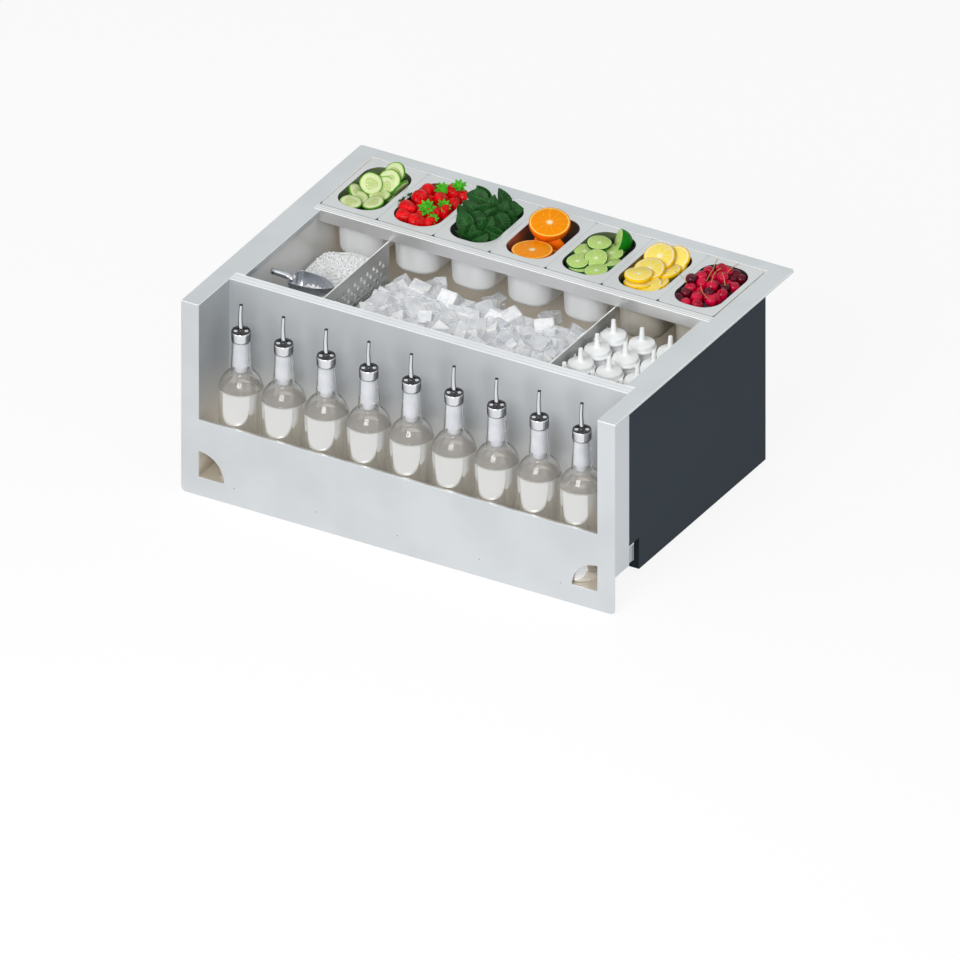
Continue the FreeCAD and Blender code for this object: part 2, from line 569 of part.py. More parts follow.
def bottles():
    # Filled bottles standing in the rail, each stopped by a free-flow pourer.
    pitch = "(2 * bottleRadius + bottleSpace)"
    count = int(value(f"({railRight} - {railLeft}) / {pitch}"))
    for number in range(count):
        tag = str(number + 1)
        spot = (f"({number} - ({count} - 1) / 2) * {pitch}",
                f"{front} + sheetWall + bottleFrontGap + bottleRadius")
        foot = f"({railFloor} + seatGap)"
        shoulder = f"({foot} + bottleBody)"
        neck = f"({shoulder} + bottleShoulder)"
        mouth = f"({neck} + neckHeight)"
        barrel = rod("BottleBarrel" + tag, "bottleRadius", *spot, (foot, shoulder))
        cone = taper("BottleShoulder" + tag, "bottleRadius", "neckRadius", *spot, (shoulder, neck))
        throat = taper("BottleNeck" + tag, "neckRadius", "neckTopRadius", *spot, (neck, mouth))
        keep(fuse("Bottle" + tag, [barrel, cone, throat]), "bottle_" + tag)
        ring = f"({mouth} + collarHeight)"
        spout = f"({ring} + sealRingHeight)"
        collar = rod("PourerCollar" + tag, "collarRadius", *spot, (mouth, ring))
        rubber = rod("PourerRing" + tag, "sealRingRadius", *spot, (ring, spout))
        tube = taper("PourerSpout" + tag, "spoutRadius", "spoutTipRadius", *spot,
                     (spout, f"{ring} + spoutHeight"))
        keep(fuse("Pourer" + tag, [collar, rubber, tube]), "pourer_" + tag)


def roundedLoop(sketch, width, depth, radius):
    # A centred rectangle with round corners, all its sizes bound to the sheet.
    across, along, corner = value(width) / 2, value(depth) / 2, value(radius)
    first = sketch.GeometryCount
    flatX, flatY = across - corner, along - corner
    sides = [((flatX, along), (-flatX, along)), ((-across, flatY), (-across, -flatY)),
             ((-flatX, -along), (flatX, -along)), ((across, -flatY), (across, flatY))]
    centres = [(-flatX, flatY), (-flatX, -flatY), (flatX, -flatY), (flatX, flatY)]
    normal = FreeCAD.Vector(0, 0, 1)
    for number, (side, centre) in enumerate(zip(sides, centres)):
        sketch.addGeometry(Part.LineSegment(FreeCAD.Vector(*side[0]), FreeCAD.Vector(*side[1])))
        start = math.pi / 2 * (number + 1)
        circle = Part.Circle(FreeCAD.Vector(*centre), normal, corner)
        sketch.addGeometry(Part.ArcOfCircle(circle, start, start + math.pi / 2))
    pieces = 2 * len(sides)
    for number in range(pieces):
        following = first + (number + 1) % pieces
        sketch.addConstraint(Sketcher.Constraint("Tangent", first + number, 2, following, 1))
    for number in range(0, pieces, 2):
        sketch.addConstraint(Sketcher.Constraint(("Horizontal", "Vertical")[number // 2 % 2], first + number))
    for number in range(3, pieces, 2):
        sketch.addConstraint(Sketcher.Constraint("Equal", first + 1, first + number))
    sketch.addConstraint(Sketcher.Constraint("Symmetric", first + 1, 3, first + 5, 3, -1, 1))
    bound = {
        radius: Sketcher.Constraint("Radius", first + 1, corner),
        width: Sketcher.Constraint("DistanceX", first + 2, 1, first + 6, 1, 2 * across),
        depth: Sketcher.Constraint("DistanceY", first + 4, 1, first, 1, 2 * along),
    }
    for text, constraint in bound.items():
        sketch.setExpression("Constraints[%d]" % sketch.addConstraint(constraint), expression(text))


def panSketch(body, name, loops):
    plane = [item for item in body.Origin.OriginFeatures if item.Role == "XY_Plane"][0]
    sketch = body.newObject("Sketcher::SketchObject", name)
    sketch.AttachmentSupport = [(plane, "")]
    sketch.MapMode = "FlatFace"
    for loop in loops:
        roundedLoop(sketch, *loop)
    return sketch


def footFillet(body, base, name, level, radius):
    # Rounds the edges of the flat face at one level of the pan.
    flat = [number for number, face in enumerate(base.Shape.Faces, 1)
            if abs(face.BoundBox.ZMin - value(level)) + face.BoundBox.ZLength < value("panWall / 2")]
    thing = body.newObject("PartDesign::Fillet", name)
    thing.Base = (base, ["Face%d" % number for number in flat])
    bind(thing, Radius=radius)
    doc.recompute()
    return thing


def garnishPan(number, x, y):
    # A drawn pan: tapered body with a rounded foot, hollowed to its wall, under a flat rim.
    tag = str(number)
    body = doc.addObject("PartDesign::Body", "GarnishPan" + tag)
    outside = (f"{panMouthWidth} + 2 * panWall", f"{panMouthDepth} + 2 * panWall", "panMouthCorner + panWall")
    mouth = (panMouthWidth, panMouthDepth, "panMouthCorner")
    block = body.newObject("PartDesign::Pad", "PanBlock" + tag)
    block.Profile = panSketch(body, "PanOutside" + tag, [outside])
    block.Reversed = True
    bind(block, Length="panDrop", TaperAngle="-panTaperAngle")
    doc.recompute()
    hollow = body.newObject("PartDesign::Pocket", "PanHollow" + tag)
    hollow.Profile = panSketch(body, "PanMouth" + tag, [mouth])
    bind(hollow, Length="panDrop - panWall", TaperAngle="-panTaperAngle")
    doc.recompute()
    if hollow.Shape.Volume > block.Shape.Volume / 2:
        raise RuntimeError("the pan is not hollow")
    inside = footFillet(body, hollow, "PanInsideFoot" + tag, "-panDrop + panWall", "panFoot - panWall")
    footFillet(body, inside, "PanFoot" + tag, "-panDrop", "panFoot")
    rim = body.newObject("PartDesign::Pad", "PanRim" + tag)
    brim = ("panPitch - panSpace", "panDepth", "panRimCorner")
    rim.Profile = panSketch(body, "PanRimOutline" + tag, [brim, mouth])
    rim.Reversed = True
    bind(rim, Length="panRim")
    body.Tip = rim
    place(body, x, y, top)
    keep(body, "garnish_pan_" + tag)


def ball(name, radius, spot):
    thing = doc.addObject("Part::Sphere", name)
    bind(thing, Radius=radius)
    return place(thing, *spot)


def dome(name, radius, spot, axis, angle):
    # Half a round fruit, cut face up before it is tilted.
    thing = doc.addObject("Part::Sphere", name)
    bind(thing, Radius=radius)
    thing.Angle2 = 0
    return place(thing, *spot, axis, angle)


def roundSlice(name, radius, wall, spot, axis, angle):
    thing = doc.addObject("Part::Cylinder", name)
    bind(thing, Radius=radius, Height=wall)
    return place(thing, *spot, axis, angle)


# Where the pieces of each garnish lie, as shares of the pan's mouth from its middle; the third share is
# the height over the garnish bed in the piece's own radius.
cucumberShares = [(-0.02, -0.28, 0.3), (0.03, -0.14, 0.45), (-0.03, 0.0, 0.5), (0.02, 0.14, 0.45),
                  (0.0, 0.27, 0.3)]
strawberryShares = [(-0.24, -0.3, 0.7), (0.22, -0.28, 0.8), (-0.22, 0.0, 0.9), (0.22, 0.04, 0.95),
                    (-0.2, 0.3, 0.8), (0.22, 0.32, 0.7)]
mintShares = [(-0.2, -0.3, 0.6), (0.2, -0.22, 0.8), (0.0, 0.0, 0.95), (-0.18, 0.22, 0.8), (0.2, 0.3, 0.6)]
limeShares = [(-0.02, -0.26, 0.3), (0.03, -0.16, 0.4), (-0.02, -0.06, 0.45), (0.02, 0.05, 0.4)]
limeHalfShares = [(0.0, 0.28, 0.8)]
lemonShares = [(0.0, -0.28, 0.25), (0.02, -0.12, 0.35), (-0.02, 0.04, 0.4), (0.02, 0.2, 0.3)]
cherryShares = [(-0.28, -0.32, 0.7), (0.0, -0.3, 0.9), (0.28, -0.3, 0.7), (-0.26, -0.08, 0.9),
                (0.02, -0.06, 0.95), (0.28, -0.06, 0.9), (-0.26, 0.16, 0.9), (0.02, 0.18, 0.95),
                (0.27, 0.18, 0.9), (-0.14, 0.36, 0.7), (0.16, 0.36, 0.7)]


def garnish(label, pan, pieces):
    # The packed bed of one garnish with its top pieces standing out of it.
    halfWidth, halfDepth = f"({panMouthWidth} / 2 - garnishInset)", f"({panMouthDepth} / 2 - garnishInset)"
    bed = slab(label.title() + "Bed",
               (f"{pan[0]} - {halfWidth}", f"{pan[0]} + {halfWidth}"),
               (f"{pan[1]} - {halfDepth}", f"{pan[1]} + {halfDepth}"),
               (f"{top} - panDrop + panWall + seatGap", f"{top} - garnishBedDrop"))
    keep(fuse(label.title(), [bed] + pieces), label)


def spots(pan, shares, radius):
    return [(f"{pan[0]} + {across} * {panMouthWidth}", f"{pan[1]} + {along} * {panMouthDepth}",
             f"{top} - garnishBedDrop + {rise} * {radius}") for across, along, rise in shares]


# Two orange halves fill the mouth from end to end: the side of its middle, and the height in radii.
orangeRadius = f"(({panMouthDepth} - 3 * orangeGap) / 4)"
orangeShares = [(-1, 0.9), (1, 0.95)]


def orangeSpots(pan):
    return [(pan[0], f"{pan[1]} + {side} * ({orangeRadius} + orangeGap / 2)",
             f"{top} - garnishBedDrop + {rise} * {orangeRadius}") for side, rise in orangeShares]


def pansAndGarnish():
    lengthwise = FreeCAD.Vector(1, 0, 0)
    count = int(value("panCount"))
    pans = [(f"({number} - (panCount - 1) / 2) * panPitch", panRow) for number in range(count)]
    for number, pan in enumerate(pans, 1):
        garnishPan(number, *pan)
    lean = (lengthwise, "sliceLeanAngle")
    pieces = [roundSlice("Cucumber%d" % item, "cucumberRadius", "cucumberWall", spot, *lean)
              for item, spot in enumerate(spots(pans[0], cucumberShares, "cucumberRadius"))]
    garnish("cucumber_slices", pans[0], pieces)
    pieces = [ball("Strawberry%d" % item, "strawberryRadius", spot)
              for item, spot in enumerate(spots(pans[1], strawberryShares, "strawberryRadius"))]
    garnish("strawberries", pans[1], pieces)
    pieces = [ball("Mint%d" % item, "mintRadius", spot)
              for item, spot in enumerate(spots(pans[2], mintShares, "mintRadius"))]
    garnish("mint_leaves", pans[2], pieces)
    pieces = [dome("Orange%d" % item, orangeRadius, spot, lengthwise, "halfLeanAngle")
              for item, spot in enumerate(orangeSpots(pans[3]))]
    garnish("orange_halves", pans[3], pieces)
    pieces = [roundSlice("Lime%d" % item, "limeRadius", "limeWall", spot, *lean)
              for item, spot in enumerate(spots(pans[4], limeShares, "limeRadius"))]
    pieces += [dome("LimeHalf%d" % item, "limeRadius", spot, lengthwise, "halfLeanAngle")
               for item, spot in enumerate(spots(pans[4], limeHalfShares, "limeRadius"))]
    garnish("lime_slices", pans[4], pieces)
    pieces = [roundSlice("Lemon%d" % item, "lemonRadius", "lemonWall", spot, *lean)
              for item, spot in enumerate(spots(pans[5], lemonShares, "lemonRadius"))]
    garnish("lemon_slices", pans[5], pieces)
    pieces = [ball("Cherry%d" % item, "cherryRadius", spot)
              for item, spot in enumerate(spots(pans[6], cherryShares, "cherryRadius"))]
    garnish("cherries", pans[6], pieces)


topFlange()
frontFascia()
railTrough()
rimCap()
iceWell()
garnishLedge()
rearLedge()
outerCasing()
insulation()
joiningBrackets()
flangeSeal()
iceGrate()
drain()
divider("left_divider", leftDivider)
divider("right_divider", rightDivider)
dividerGuides()
ice()
iceScoop()
squeezeBottles()
bottles()
pansAndGarnish()

doc.recompute()
failed = [thing.Name for thing in doc.Objects if "Invalid" in thing.State or "Error" in thing.State]
if failed:
    raise RuntimeError("failed to build: " + ", ".join(failed))
for thing in nodes:
    if thing.Shape.isNull() or not thing.Shape.isValid() or not thing.Shape.Solids:
        raise RuntimeError("no valid solid: " + thing.Label)
os.makedirs("parts", exist_ok=True)
for thing in nodes:
    thing.Shape.exportStep("parts/%s.step" % thing.Label)
    box = thing.Shape.BoundBox
    print("%-18s %2d solids %10.0f mm3  x %7.1f %7.1f  y %7.1f %7.1f  z %6.1f %6.1f" % (
        thing.Label, len(thing.Shape.Solids), thing.Shape.Volume,
        box.XMin, box.XMax, box.YMin, box.YMax, box.ZMin, box.ZMax))
print(len(nodes), "nodes written")
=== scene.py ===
import math

import bmesh
import bpy
import numpy as np
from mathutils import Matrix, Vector


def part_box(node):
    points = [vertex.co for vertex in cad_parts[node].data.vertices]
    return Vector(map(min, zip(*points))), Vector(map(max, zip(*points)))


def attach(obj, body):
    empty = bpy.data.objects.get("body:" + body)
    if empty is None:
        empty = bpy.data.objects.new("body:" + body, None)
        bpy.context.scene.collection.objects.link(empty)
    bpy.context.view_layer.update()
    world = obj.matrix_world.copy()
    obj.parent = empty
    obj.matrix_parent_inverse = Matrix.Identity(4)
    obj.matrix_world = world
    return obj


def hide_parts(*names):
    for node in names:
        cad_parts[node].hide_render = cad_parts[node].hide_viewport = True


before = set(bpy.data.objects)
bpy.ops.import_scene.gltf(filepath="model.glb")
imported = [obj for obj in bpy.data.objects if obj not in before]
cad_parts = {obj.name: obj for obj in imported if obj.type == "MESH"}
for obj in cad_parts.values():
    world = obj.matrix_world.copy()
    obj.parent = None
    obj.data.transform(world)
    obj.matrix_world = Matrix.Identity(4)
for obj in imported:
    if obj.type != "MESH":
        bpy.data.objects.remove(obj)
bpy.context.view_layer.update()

mm = 0.001
print("frame loaded:", len(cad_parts), "nodes")


# shapes: a shape is a dict of points, quads, tris and an optional local coordinate per point

def gridShape(grid, around=True, startPole=False, endPole=False, local=None):
    # rows run along the profile, columns go round; a pole row shrinks to one point
    rows, cols = grid.shape[:2]
    counts = [1 if (startPole and r == 0) or (endPole and r == rows - 1) else cols for r in range(rows)]
    starts = np.concatenate([[0], np.cumsum(counts)])
    points = np.concatenate([grid[r, :counts[r]] for r in range(rows)])
    here = np.arange(cols)
    there = np.roll(here, -1)
    if not around:
        here, there = here[:-1], there[:-1]
    quads, tris = [], []
    for r in range(rows - 1):
        a, b = starts[r], starts[r + 1]
        if counts[r] == 1:
            tris.append(np.stack([np.full(len(here), a), b + there, b + here], 1))
        elif counts[r + 1] == 1:
            tris.append(np.stack([a + here, a + there, np.full(len(here), b)], 1))
        else:
            quads.append(np.stack([a + here, a + there, b + there, b + here], 1))
    shape = {"points": points,
             "quads": np.concatenate(quads) if quads else np.zeros((0, 4), int),
             "tris": np.concatenate(tris) if tris else np.zeros((0, 3), int)}
    if local is not None:
        shape["local"] = np.concatenate([local[r, :counts[r]] for r in range(rows)])
    return shape


def joinShapes(shapes):
    # several shapes as one, each one's point numbers moved on by those before it
    offset, points, quads, tris, local = 0, [], [], [], []
    for shape in shapes:
        points.append(shape["points"])
        quads.append(shape["quads"] + offset)
        tris.append(shape["tris"] + offset)
        local.append(shape.get("local", np.zeros_like(shape["points"])))
        offset += len(shape["points"])
    return {"points": np.concatenate(points), "quads": np.concatenate(quads), "tris": np.concatenate(tris),
            "local": np.concatenate(local)}


def turn(axis, degrees):
    # rotation matrix about one axis
    c, s = math.cos(math.radians(degrees)), math.sin(math.radians(degrees))
    return np.array({"x": [[1, 0, 0], [0, c, -s], [0, s, c]], "y": [[c, 0, s], [0, 1, 0], [-s, 0, c]],
                     "z": [[c, -s, 0], [s, c, 0], [0, 0, 1]]}[axis])


def moved(shape, place=(0, 0, 0), rotation=None):
    # turned first, then shifted
    points = shape["points"] if rotation is None else shape["points"] @ np.asarray(rotation).T
    return {**shape, "points": points + np.asarray(place)}


def smoothLine(points, count):
    # Catmull-Rom curve through a few given points, sampled evenly in its parameter
    p = np.asarray(points, float)
    p = np.concatenate([[2 * p[0] - p[1]], p, [2 * p[-1] - p[-2]]])
    t = np.linspace(0, len(p) - 3 - 1e-9, count)
    i = t.astype(int)
    f = (t - i)[:, None]
    a, b, c, d = p[i], p[i + 1], p[i + 2], p[i + 3]
    return 0.5 * (2 * b + (c - a) * f + (2 * a - 5 * b + 4 * c - d) * f ** 2 + (3 * b - a - 3 * c + d) * f ** 3)


def inMm(rows, over=0.0):
    # radius and height pairs in millimetres, set over a height
    return np.array(rows) * mm + [0, over]


def lathe(profile, segments=40, place=(0, 0, 0)):
    # radius and height pairs turned about an upright axis; a zero radius at an end closes to a pole
    profile = np.asarray(profile, float)
    angle = np.linspace(0, 2 * np.pi, segments, endpoint=False)
    ring = np.stack([np.cos(angle), np.sin(angle), np.zeros(segments)], 1)
    grid = profile[:, None, :1] * ring[None]
    grid[:, :, 2] = profile[:, 1:2]
    return moved(gridShape(grid, True, profile[0, 0] == 0, profile[-1, 0] == 0), place)


def tube(path, radius, segments=10, closed=True):
    # a round section carried along a path, its frame turned as little as possible
    path = np.asarray(path, float)
    radius = np.broadcast_to(np.asarray(radius, float), len(path))
    along = np.gradient(path, axis=0)
    along /= np.linalg.norm(along, axis=1)[:, None]
    side = np.cross(along[0], [0.3, 0.5, 0.81])
    frames = []
    for step in along:
        side = side - step * (side @ step)
        side = side / np.linalg.norm(side)
        frames.append((side, np.cross(step, side)))
    u, v = np.array([f[0] for f in frames]), np.array([f[1] for f in frames])
    angle = np.linspace(0, 2 * np.pi, segments, endpoint=False)
    grid = path[:, None] + radius[:, None, None] * (np.cos(angle)[None, :, None] * u[:, None]
                                                    + np.sin(angle)[None, :, None] * v[:, None])
    if closed:
        grid = np.concatenate([np.repeat(path[:1, None], segments, 1), grid, np.repeat(path[-1:, None], segments, 1)])
    return gridShape(grid, True, closed, closed)


def bar(outline, start, end, across):
    # a closed outline of two coordinates carried straight along the third axis
    outline = np.asarray(outline, float)
    grid = np.zeros((4, len(outline), 3))
    others = [k for k in range(3) if k != across]
    middle = outline.mean(0)
    for row, (at, flat) in enumerate(((start, middle), (start, outline), (end, outline), (end, middle))):
        grid[row, :, across] = at
        grid[row][:, others] = flat
    return gridShape(grid, True, True, True)


def rectangle(a, b, right, top):
    return [(a, b), (right, b), (right, top), (a, top)]


def arcPoints(centre, radius, start, end, count):
    # points on a circle between two angles in degrees
    angle = np.radians(np.linspace(start, end, count))
    return np.stack([centre[0] + radius * np.cos(angle), centre[1] + radius * np.sin(angle)], 1)


def outwards(mesh):
    work = bmesh.new()
    work.from_mesh(mesh)
    bmesh.ops.recalc_face_normals(work, faces=work.faces)
    work.to_mesh(mesh)
    work.free()


def piece(name, shape, material, body="station", node=None, smooth=True, autoAngle=None):
    # a mesh object at the origin that rides on a body and, where named, stands for a CAD node
    mesh = bpy.data.meshes.new(name)
    points, quads, tris = shape["points"], shape["quads"], shape["tris"]
    mesh.vertices.add(len(points))
    mesh.vertices.foreach_set("co", points.astype(np.float32).ravel())
    loops = np.concatenate([quads.ravel(), tris.ravel()]).astype(np.int32)
    totals = np.concatenate([np.full(len(quads), 4), np.full(len(tris), 3)]).astype(np.int32)
    mesh.loops.add(len(loops))
    mesh.loops.foreach_set("vertex_index", loops)
    mesh.polygons.add(len(totals))
    mesh.polygons.foreach_set("loop_start", np.concatenate([[0], np.cumsum(totals)[:-1]]).astype(np.int32))
    mesh.polygons.foreach_set("loop_total", totals)
    mesh.update(calc_edges=True)
    mesh.validate()
    outwards(mesh)
    if "local" in shape:
        attribute = mesh.attributes.new("local", "FLOAT_VECTOR", "POINT")
        attribute.data.foreach_set("vector", shape["local"].astype(np.float32).ravel())
    mesh.polygons.foreach_set("use_smooth", np.full(len(mesh.polygons), smooth))
    if autoAngle:
        mesh.set_sharp_from_angle(angle=math.radians(autoAngle))
    mesh.materials.append(material)
    thing = bpy.data.objects.new(name, mesh)
    bpy.context.scene.collection.objects.link(thing)
    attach(thing, body)
    if node:
        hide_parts(*([node] if isinstance(node, str) else node))
    return thing


# shader helpers: a value that varies over a surface is a node socket, and a socket knows its own tree

def fill(node, **inputs):
    # sets or links a node's inputs, named with _ for a space or numbered as i0, i1
    for key, value in inputs.items():
        numbered = key[0] == "i" and key[1:].isdigit()
        socket = node.inputs[int(key[1:]) if numbered else key.replace("_", " ")]
        if isinstance(value, bpy.types.NodeSocket):
            node.id_data.links.new(value, socket)
        else:
            socket.default_value = value
    return node


def addNode(tree, kind, settings=None, **inputs):
    node = tree.nodes.new("ShaderNode" + kind)
    for key, value in (settings or {}).items():
        setattr(node, key, value)
    return fill(node, **inputs)


def maths(operation, *values):
    # one sum on sockets and plain numbers
    tree = next(value.id_data for value in values if isinstance(value, bpy.types.NodeSocket))
    inputs = {"i%d" % number: value for number, value in enumerate(values)}
    return addNode(tree, "Math", {"operation": operation}, **inputs).outputs[0]


def times(first, *others):
    for other in others:
        first = maths("MULTIPLY", first, other)
    return first


def inverse(share):
    return maths("SUBTRACT", 1.0, share)


def band(value, low, high):
    # 0 below low, 1 above high, smooth between
    return addNode(value.id_data, "MapRange", {"interpolation_type": "SMOOTHSTEP"}, Value=value, From_Min=low,
                   From_Max=high).outputs["Result"]


def blend(share, a, b):
    # colour a where the share is 0, b where it is 1
    return addNode(share.id_data, "Mix", {"data_type": "RGBA"}, i0=share, i6=a, i7=b).outputs[2]


def mixShaders(share, a, b):
    return addNode(share.id_data, "MixShader", i0=share, i1=a.outputs[0], i2=b.outputs[0])


def split(place):
    return addNode(place.id_data, "SeparateXYZ", Vector=place).outputs


def flatPlace(x, y):
    return addNode(x.id_data, "CombineXYZ", X=x, Y=y).outputs[0]


def lengthOf(place):
    return addNode(place.id_data, "VectorMath", {"operation": "LENGTH"}, i0=place).outputs["Value"]


def repeated(value, pitch, shift):
    # distance from the nearest of a row of middles that stand a pitch apart
    steps = maths("FRACT", maths("ADD", maths("DIVIDE", value, pitch), shift))
    return times(maths("SUBTRACT", steps, 0.5), pitch)


def noise(place, scale, detail, **others):
    return addNode(place.id_data, "TexNoise", Vector=place, Scale=scale, Detail=detail, **others).outputs["Fac"]


def cells(place, scale):
    # distance from the nearest of a scatter of points
    return addNode(place.id_data, "TexVoronoi", {"feature": "F1"}, Vector=place, Scale=scale).outputs["Distance"]


def bump(height, strength, distance):
    return addNode(height.id_data, "Bump", Strength=strength, Distance=distance, Height=height).outputs["Normal"]


def rgb(r, g, b):
    return (r, g, b, 1.0)


def srgb(red, green, blue):
    # screen values from 0 to 255 turned into scene colour
    screen = np.array([red, green, blue]) / 255
    linear = np.where(screen <= 0.04045, screen / 12.92, ((screen + 0.055) / 1.055) ** 2.4)
    return (*linear.tolist(), 1.0)


def newGroup(name, inputs, outputs):
    tree = bpy.data.node_groups.new(name, "ShaderNodeTree")
    for label, kind, value in inputs:
        socket = tree.interface.new_socket(label, in_out="INPUT", socket_type=kind)
        if value is not None:
            socket.default_value = value
    for label, kind in outputs:
        tree.interface.new_socket(label, in_out="OUTPUT", socket_type=kind)
    return tree, tree.nodes.new("NodeGroupInput"), tree.nodes.new("NodeGroupOutput")


def useGroup(tree, group, **inputs):
    return addNode(tree, "Group", {"node_tree": group}, **inputs).outputs


def newMaterial(name):
    material = bpy.data.materials.new(name)
    material.use_nodes = True
    tree = material.node_tree
    return material, tree, tree.nodes["Principled BSDF"]


def objectPlace(tree, turned=(0, 0, 0)):
    coords = addNode(tree, "TexCoord").outputs["Object"]
    return addNode(tree, "Mapping", Vector=coords, Rotation=turned).outputs["Vector"]


def localPlace(tree):
    return addNode(tree, "Attribute", {"attribute_name": "local"}).outputs["Vector"]


def steelGrainGroup():
    # fine drawn streaks along the first axis of the given place, with slow clouding over them
    number = "NodeSocketFloat"
    takes = [("Place", "NodeSocketVector", None), ("Streak", number, 900.0), ("Clouds", number, 9.0)]
    tree, given, out = newGroup("steelGrain", takes, [("Streaks", number), ("Clouds", number)])
    given = given.outputs
    stretched = addNode(tree, "VectorMath", {"operation": "MULTIPLY"}, i0=given["Place"], i1=(0.02, 1.0, 1.0))
    fill(out, Streaks=noise(stretched.outputs[0], given["Streak"], 3.0),
         Clouds=noise(given["Place"], given["Clouds"], 3.0))
    return tree


steelGrain = steelGrainGroup()


def steelMaterial(name, colour, roughness, grain=0.06, upright=False, metallic=1.0, tint=None):
    # drawn grain roughens and dents the sheet; a tint lays its colours over the clouding: painted light and shade on
    # most steels, weld marks on the fascia
    material, tree, shader = newMaterial(name)
    marks = useGroup(tree, steelGrain, Place=objectPlace(tree, (0, math.pi / 2 if upright else 0, 0)))
    dark = (*(0.93 * c for c in colour[:3]), 1.0)
    shade = blend(band(marks["Clouds"], 0.3, 0.7), dark, colour)
    if tint:
        shade = tint(shade, split(objectPlace(tree)))
    spread = maths("MULTIPLY_ADD", marks["Streaks"], grain, roughness - grain / 2)
    fill(shader, Base_Color=shade, Roughness=spread, Normal=bump(marks["Streaks"], 0.05, 0.0004), Metallic=metallic)
    return material


# tints take a shade and the X, Y and Z of the place; all but the fascia's lay painted light and shade over it, the
# fascia's lays weld marks

def foldLines(lines):
    # painted highlight and shade: thin lengthwise light and grey lines at set depths where folds and beads catch or
    # lose the light, each with its own half width and colour
    def tint(shade, parts):
        for depth, half, colour in lines:
            away = maths("ABSOLUTE", maths("SUBTRACT", parts["Y"], depth * mm))
            shade = blend(inverse(band(away, half * 0.6 * mm, half * mm)), shade, srgb(*colour))
        return shade
    return tint


def ledgeTint(shade, parts):
    # painted shade on the apron under the front fold, darker towards its foot; the fold and two beads behind it get
    # painted highlight and shade lines
    apron = inverse(band(parts["Z"], 0.3638, 0.3650))
    high = band(parts["Z"], 0.344, 0.364)
    shade = blend(apron, shade, blend(high, srgb(142, 143, 142), srgb(182, 185, 187)))
    return foldLines(ledgeEdgeLight)(shade, parts)


def railTint(shade, parts):
    # painted light and reflection: inside, the wall is painted lighter to the right and light and warm towards the
    # floor of the rail, and the floor takes a warm painted reflection; outside its ends the trough is a plain lighter
    # grey
    inside = inverse(band(maths("ABSOLUTE", parts["X"]), 0.3840, 0.3846))
    low = inverse(band(parts["Z"], 0.06, 0.25))
    floor = inverse(band(parts["Z"], 0.038, 0.060))
    right = band(parts["X"], -0.05, 0.38)
    wall = blend(low, blend(right, shade, srgb(194, 197, 200)), srgb(236, 228, 214))
    return blend(inside, srgb(212, 217, 222), blend(floor, wall, srgb(194, 185, 170)))


def panTint(shade, parts):
    # polished rims and darker insides; the outside of a pan, which faces away from its own middle, is painted pale and
    # matt as painted light, turning to a warm painted shade on the pans to the right
    tree = shade.id_data
    fromMiddle = flatPlace(repeated(parts["X"], 108 * mm, 4.5), maths("SUBTRACT", parts["Y"], 183.5 * mm))
    normal = addNode(tree, "NewGeometry").outputs["Normal"]
    facing = addNode(tree, "VectorMath", {"operation": "DOT_PRODUCT"}, i0=fromMiddle, i1=normal).outputs["Value"]
    under = inverse(band(parts["Z"], 0.3625, 0.3640))
    outer = times(band(facing, -0.002, 0.004), under)
    fill(tree.nodes["Principled BSDF"], Metallic=inverse(times(outer, 0.85)))
    # painted light on the outsides, warm painted shade on the pans to the right
    pale = blend(band(parts["X"], 0.14, 0.18), srgb(251, 252, 253), srgb(206, 200, 188))
    return blend(outer, blend(under, shade, srgb(186, 187, 184)), pale)


def wellTint(shade, parts):
    # painted warm reflection and shade: behind the apron and to the right the well turns warm
    shade = blend(band(parts["X"], 0.20, 0.26), shade, srgb(222, 213, 196))
    return blend(band(parts["Y"], 0.085, 0.16), shade, srgb(234, 226, 212))


def fasciaTint(shade, parts):
    # a row of weld marks near the foot
    away = lengthOf(flatPlace(repeated(parts["X"], 157.25 * mm, 2.5064), maths("SUBTRACT", parts["Z"], 33 * mm)))
    return blend(band(away, 0.7 * mm, 1.3 * mm), srgb(112, 112, 110), shade)


# painted highlight and shade lines for the ledge and the rim cap: depth, half width, colour
ledgeEdgeLight = [(77.6, 0.9, (250, 250, 249)), (80.6, 0.5, (176, 178, 178)), (82.6, 0.8, (238, 239, 239)),
              (86.5, 0.5, (188, 190, 190)), (94.4, 0.5, (160, 162, 162))]
rimEdgeLight = [(-196.6, 0.8, (236, 238, 240)), (-192.4, 0.5, (176, 180, 182)), (-190.6, 0.6, (226, 229, 231)),
            (-182.5, 0.5, (178, 182, 184)), (-175.4, 0.7, (240, 241, 242))]
satinSteel = steelMaterial("satinSteel", srgb(202, 207, 209), 0.40)
fasciaSteel = steelMaterial("fasciaSteel", srgb(217, 221, 224), 0.42, tint=fasciaTint)
railSteel = steelMaterial("railSteel", srgb(176, 180, 183), 0.36, upright=True, metallic=0.4, tint=railTint)
rimSteel = steelMaterial("rimSteel", srgb(227, 231, 234), 0.40, tint=foldLines(rimEdgeLight))
wellSteel = steelMaterial("wellSteel", srgb(230, 231, 229), 0.34, metallic=0.3, tint=wellTint)
dividerSteel = steelMaterial("dividerSteel", srgb(178, 179, 178), 0.34, metallic=0.5)
panSteel = steelMaterial("panSteel", srgb(206, 210, 210), 0.34, tint=panTint)
ledgeSteel = steelMaterial("ledgeSteel", srgb(216, 219, 220), 0.42, tint=ledgeTint)
brightSteel = steelMaterial("brightSteel", srgb(214, 216, 218), 0.2, 0.04, metallic=0.6)
# near-white steel for bevelled edges and divider tops: painted highlight
paintedHighlightSteel = steelMaterial("paintedHighlightSteel", srgb(246, 247, 247), 0.3, 0.04, metallic=0.5)


# camera and light

cameraSet = {"target": (0.0890, -0.1807, 0.1064), "azimuth": 30.0, "elevation": 30.0, "distance": 4.0, "width": 1.6}


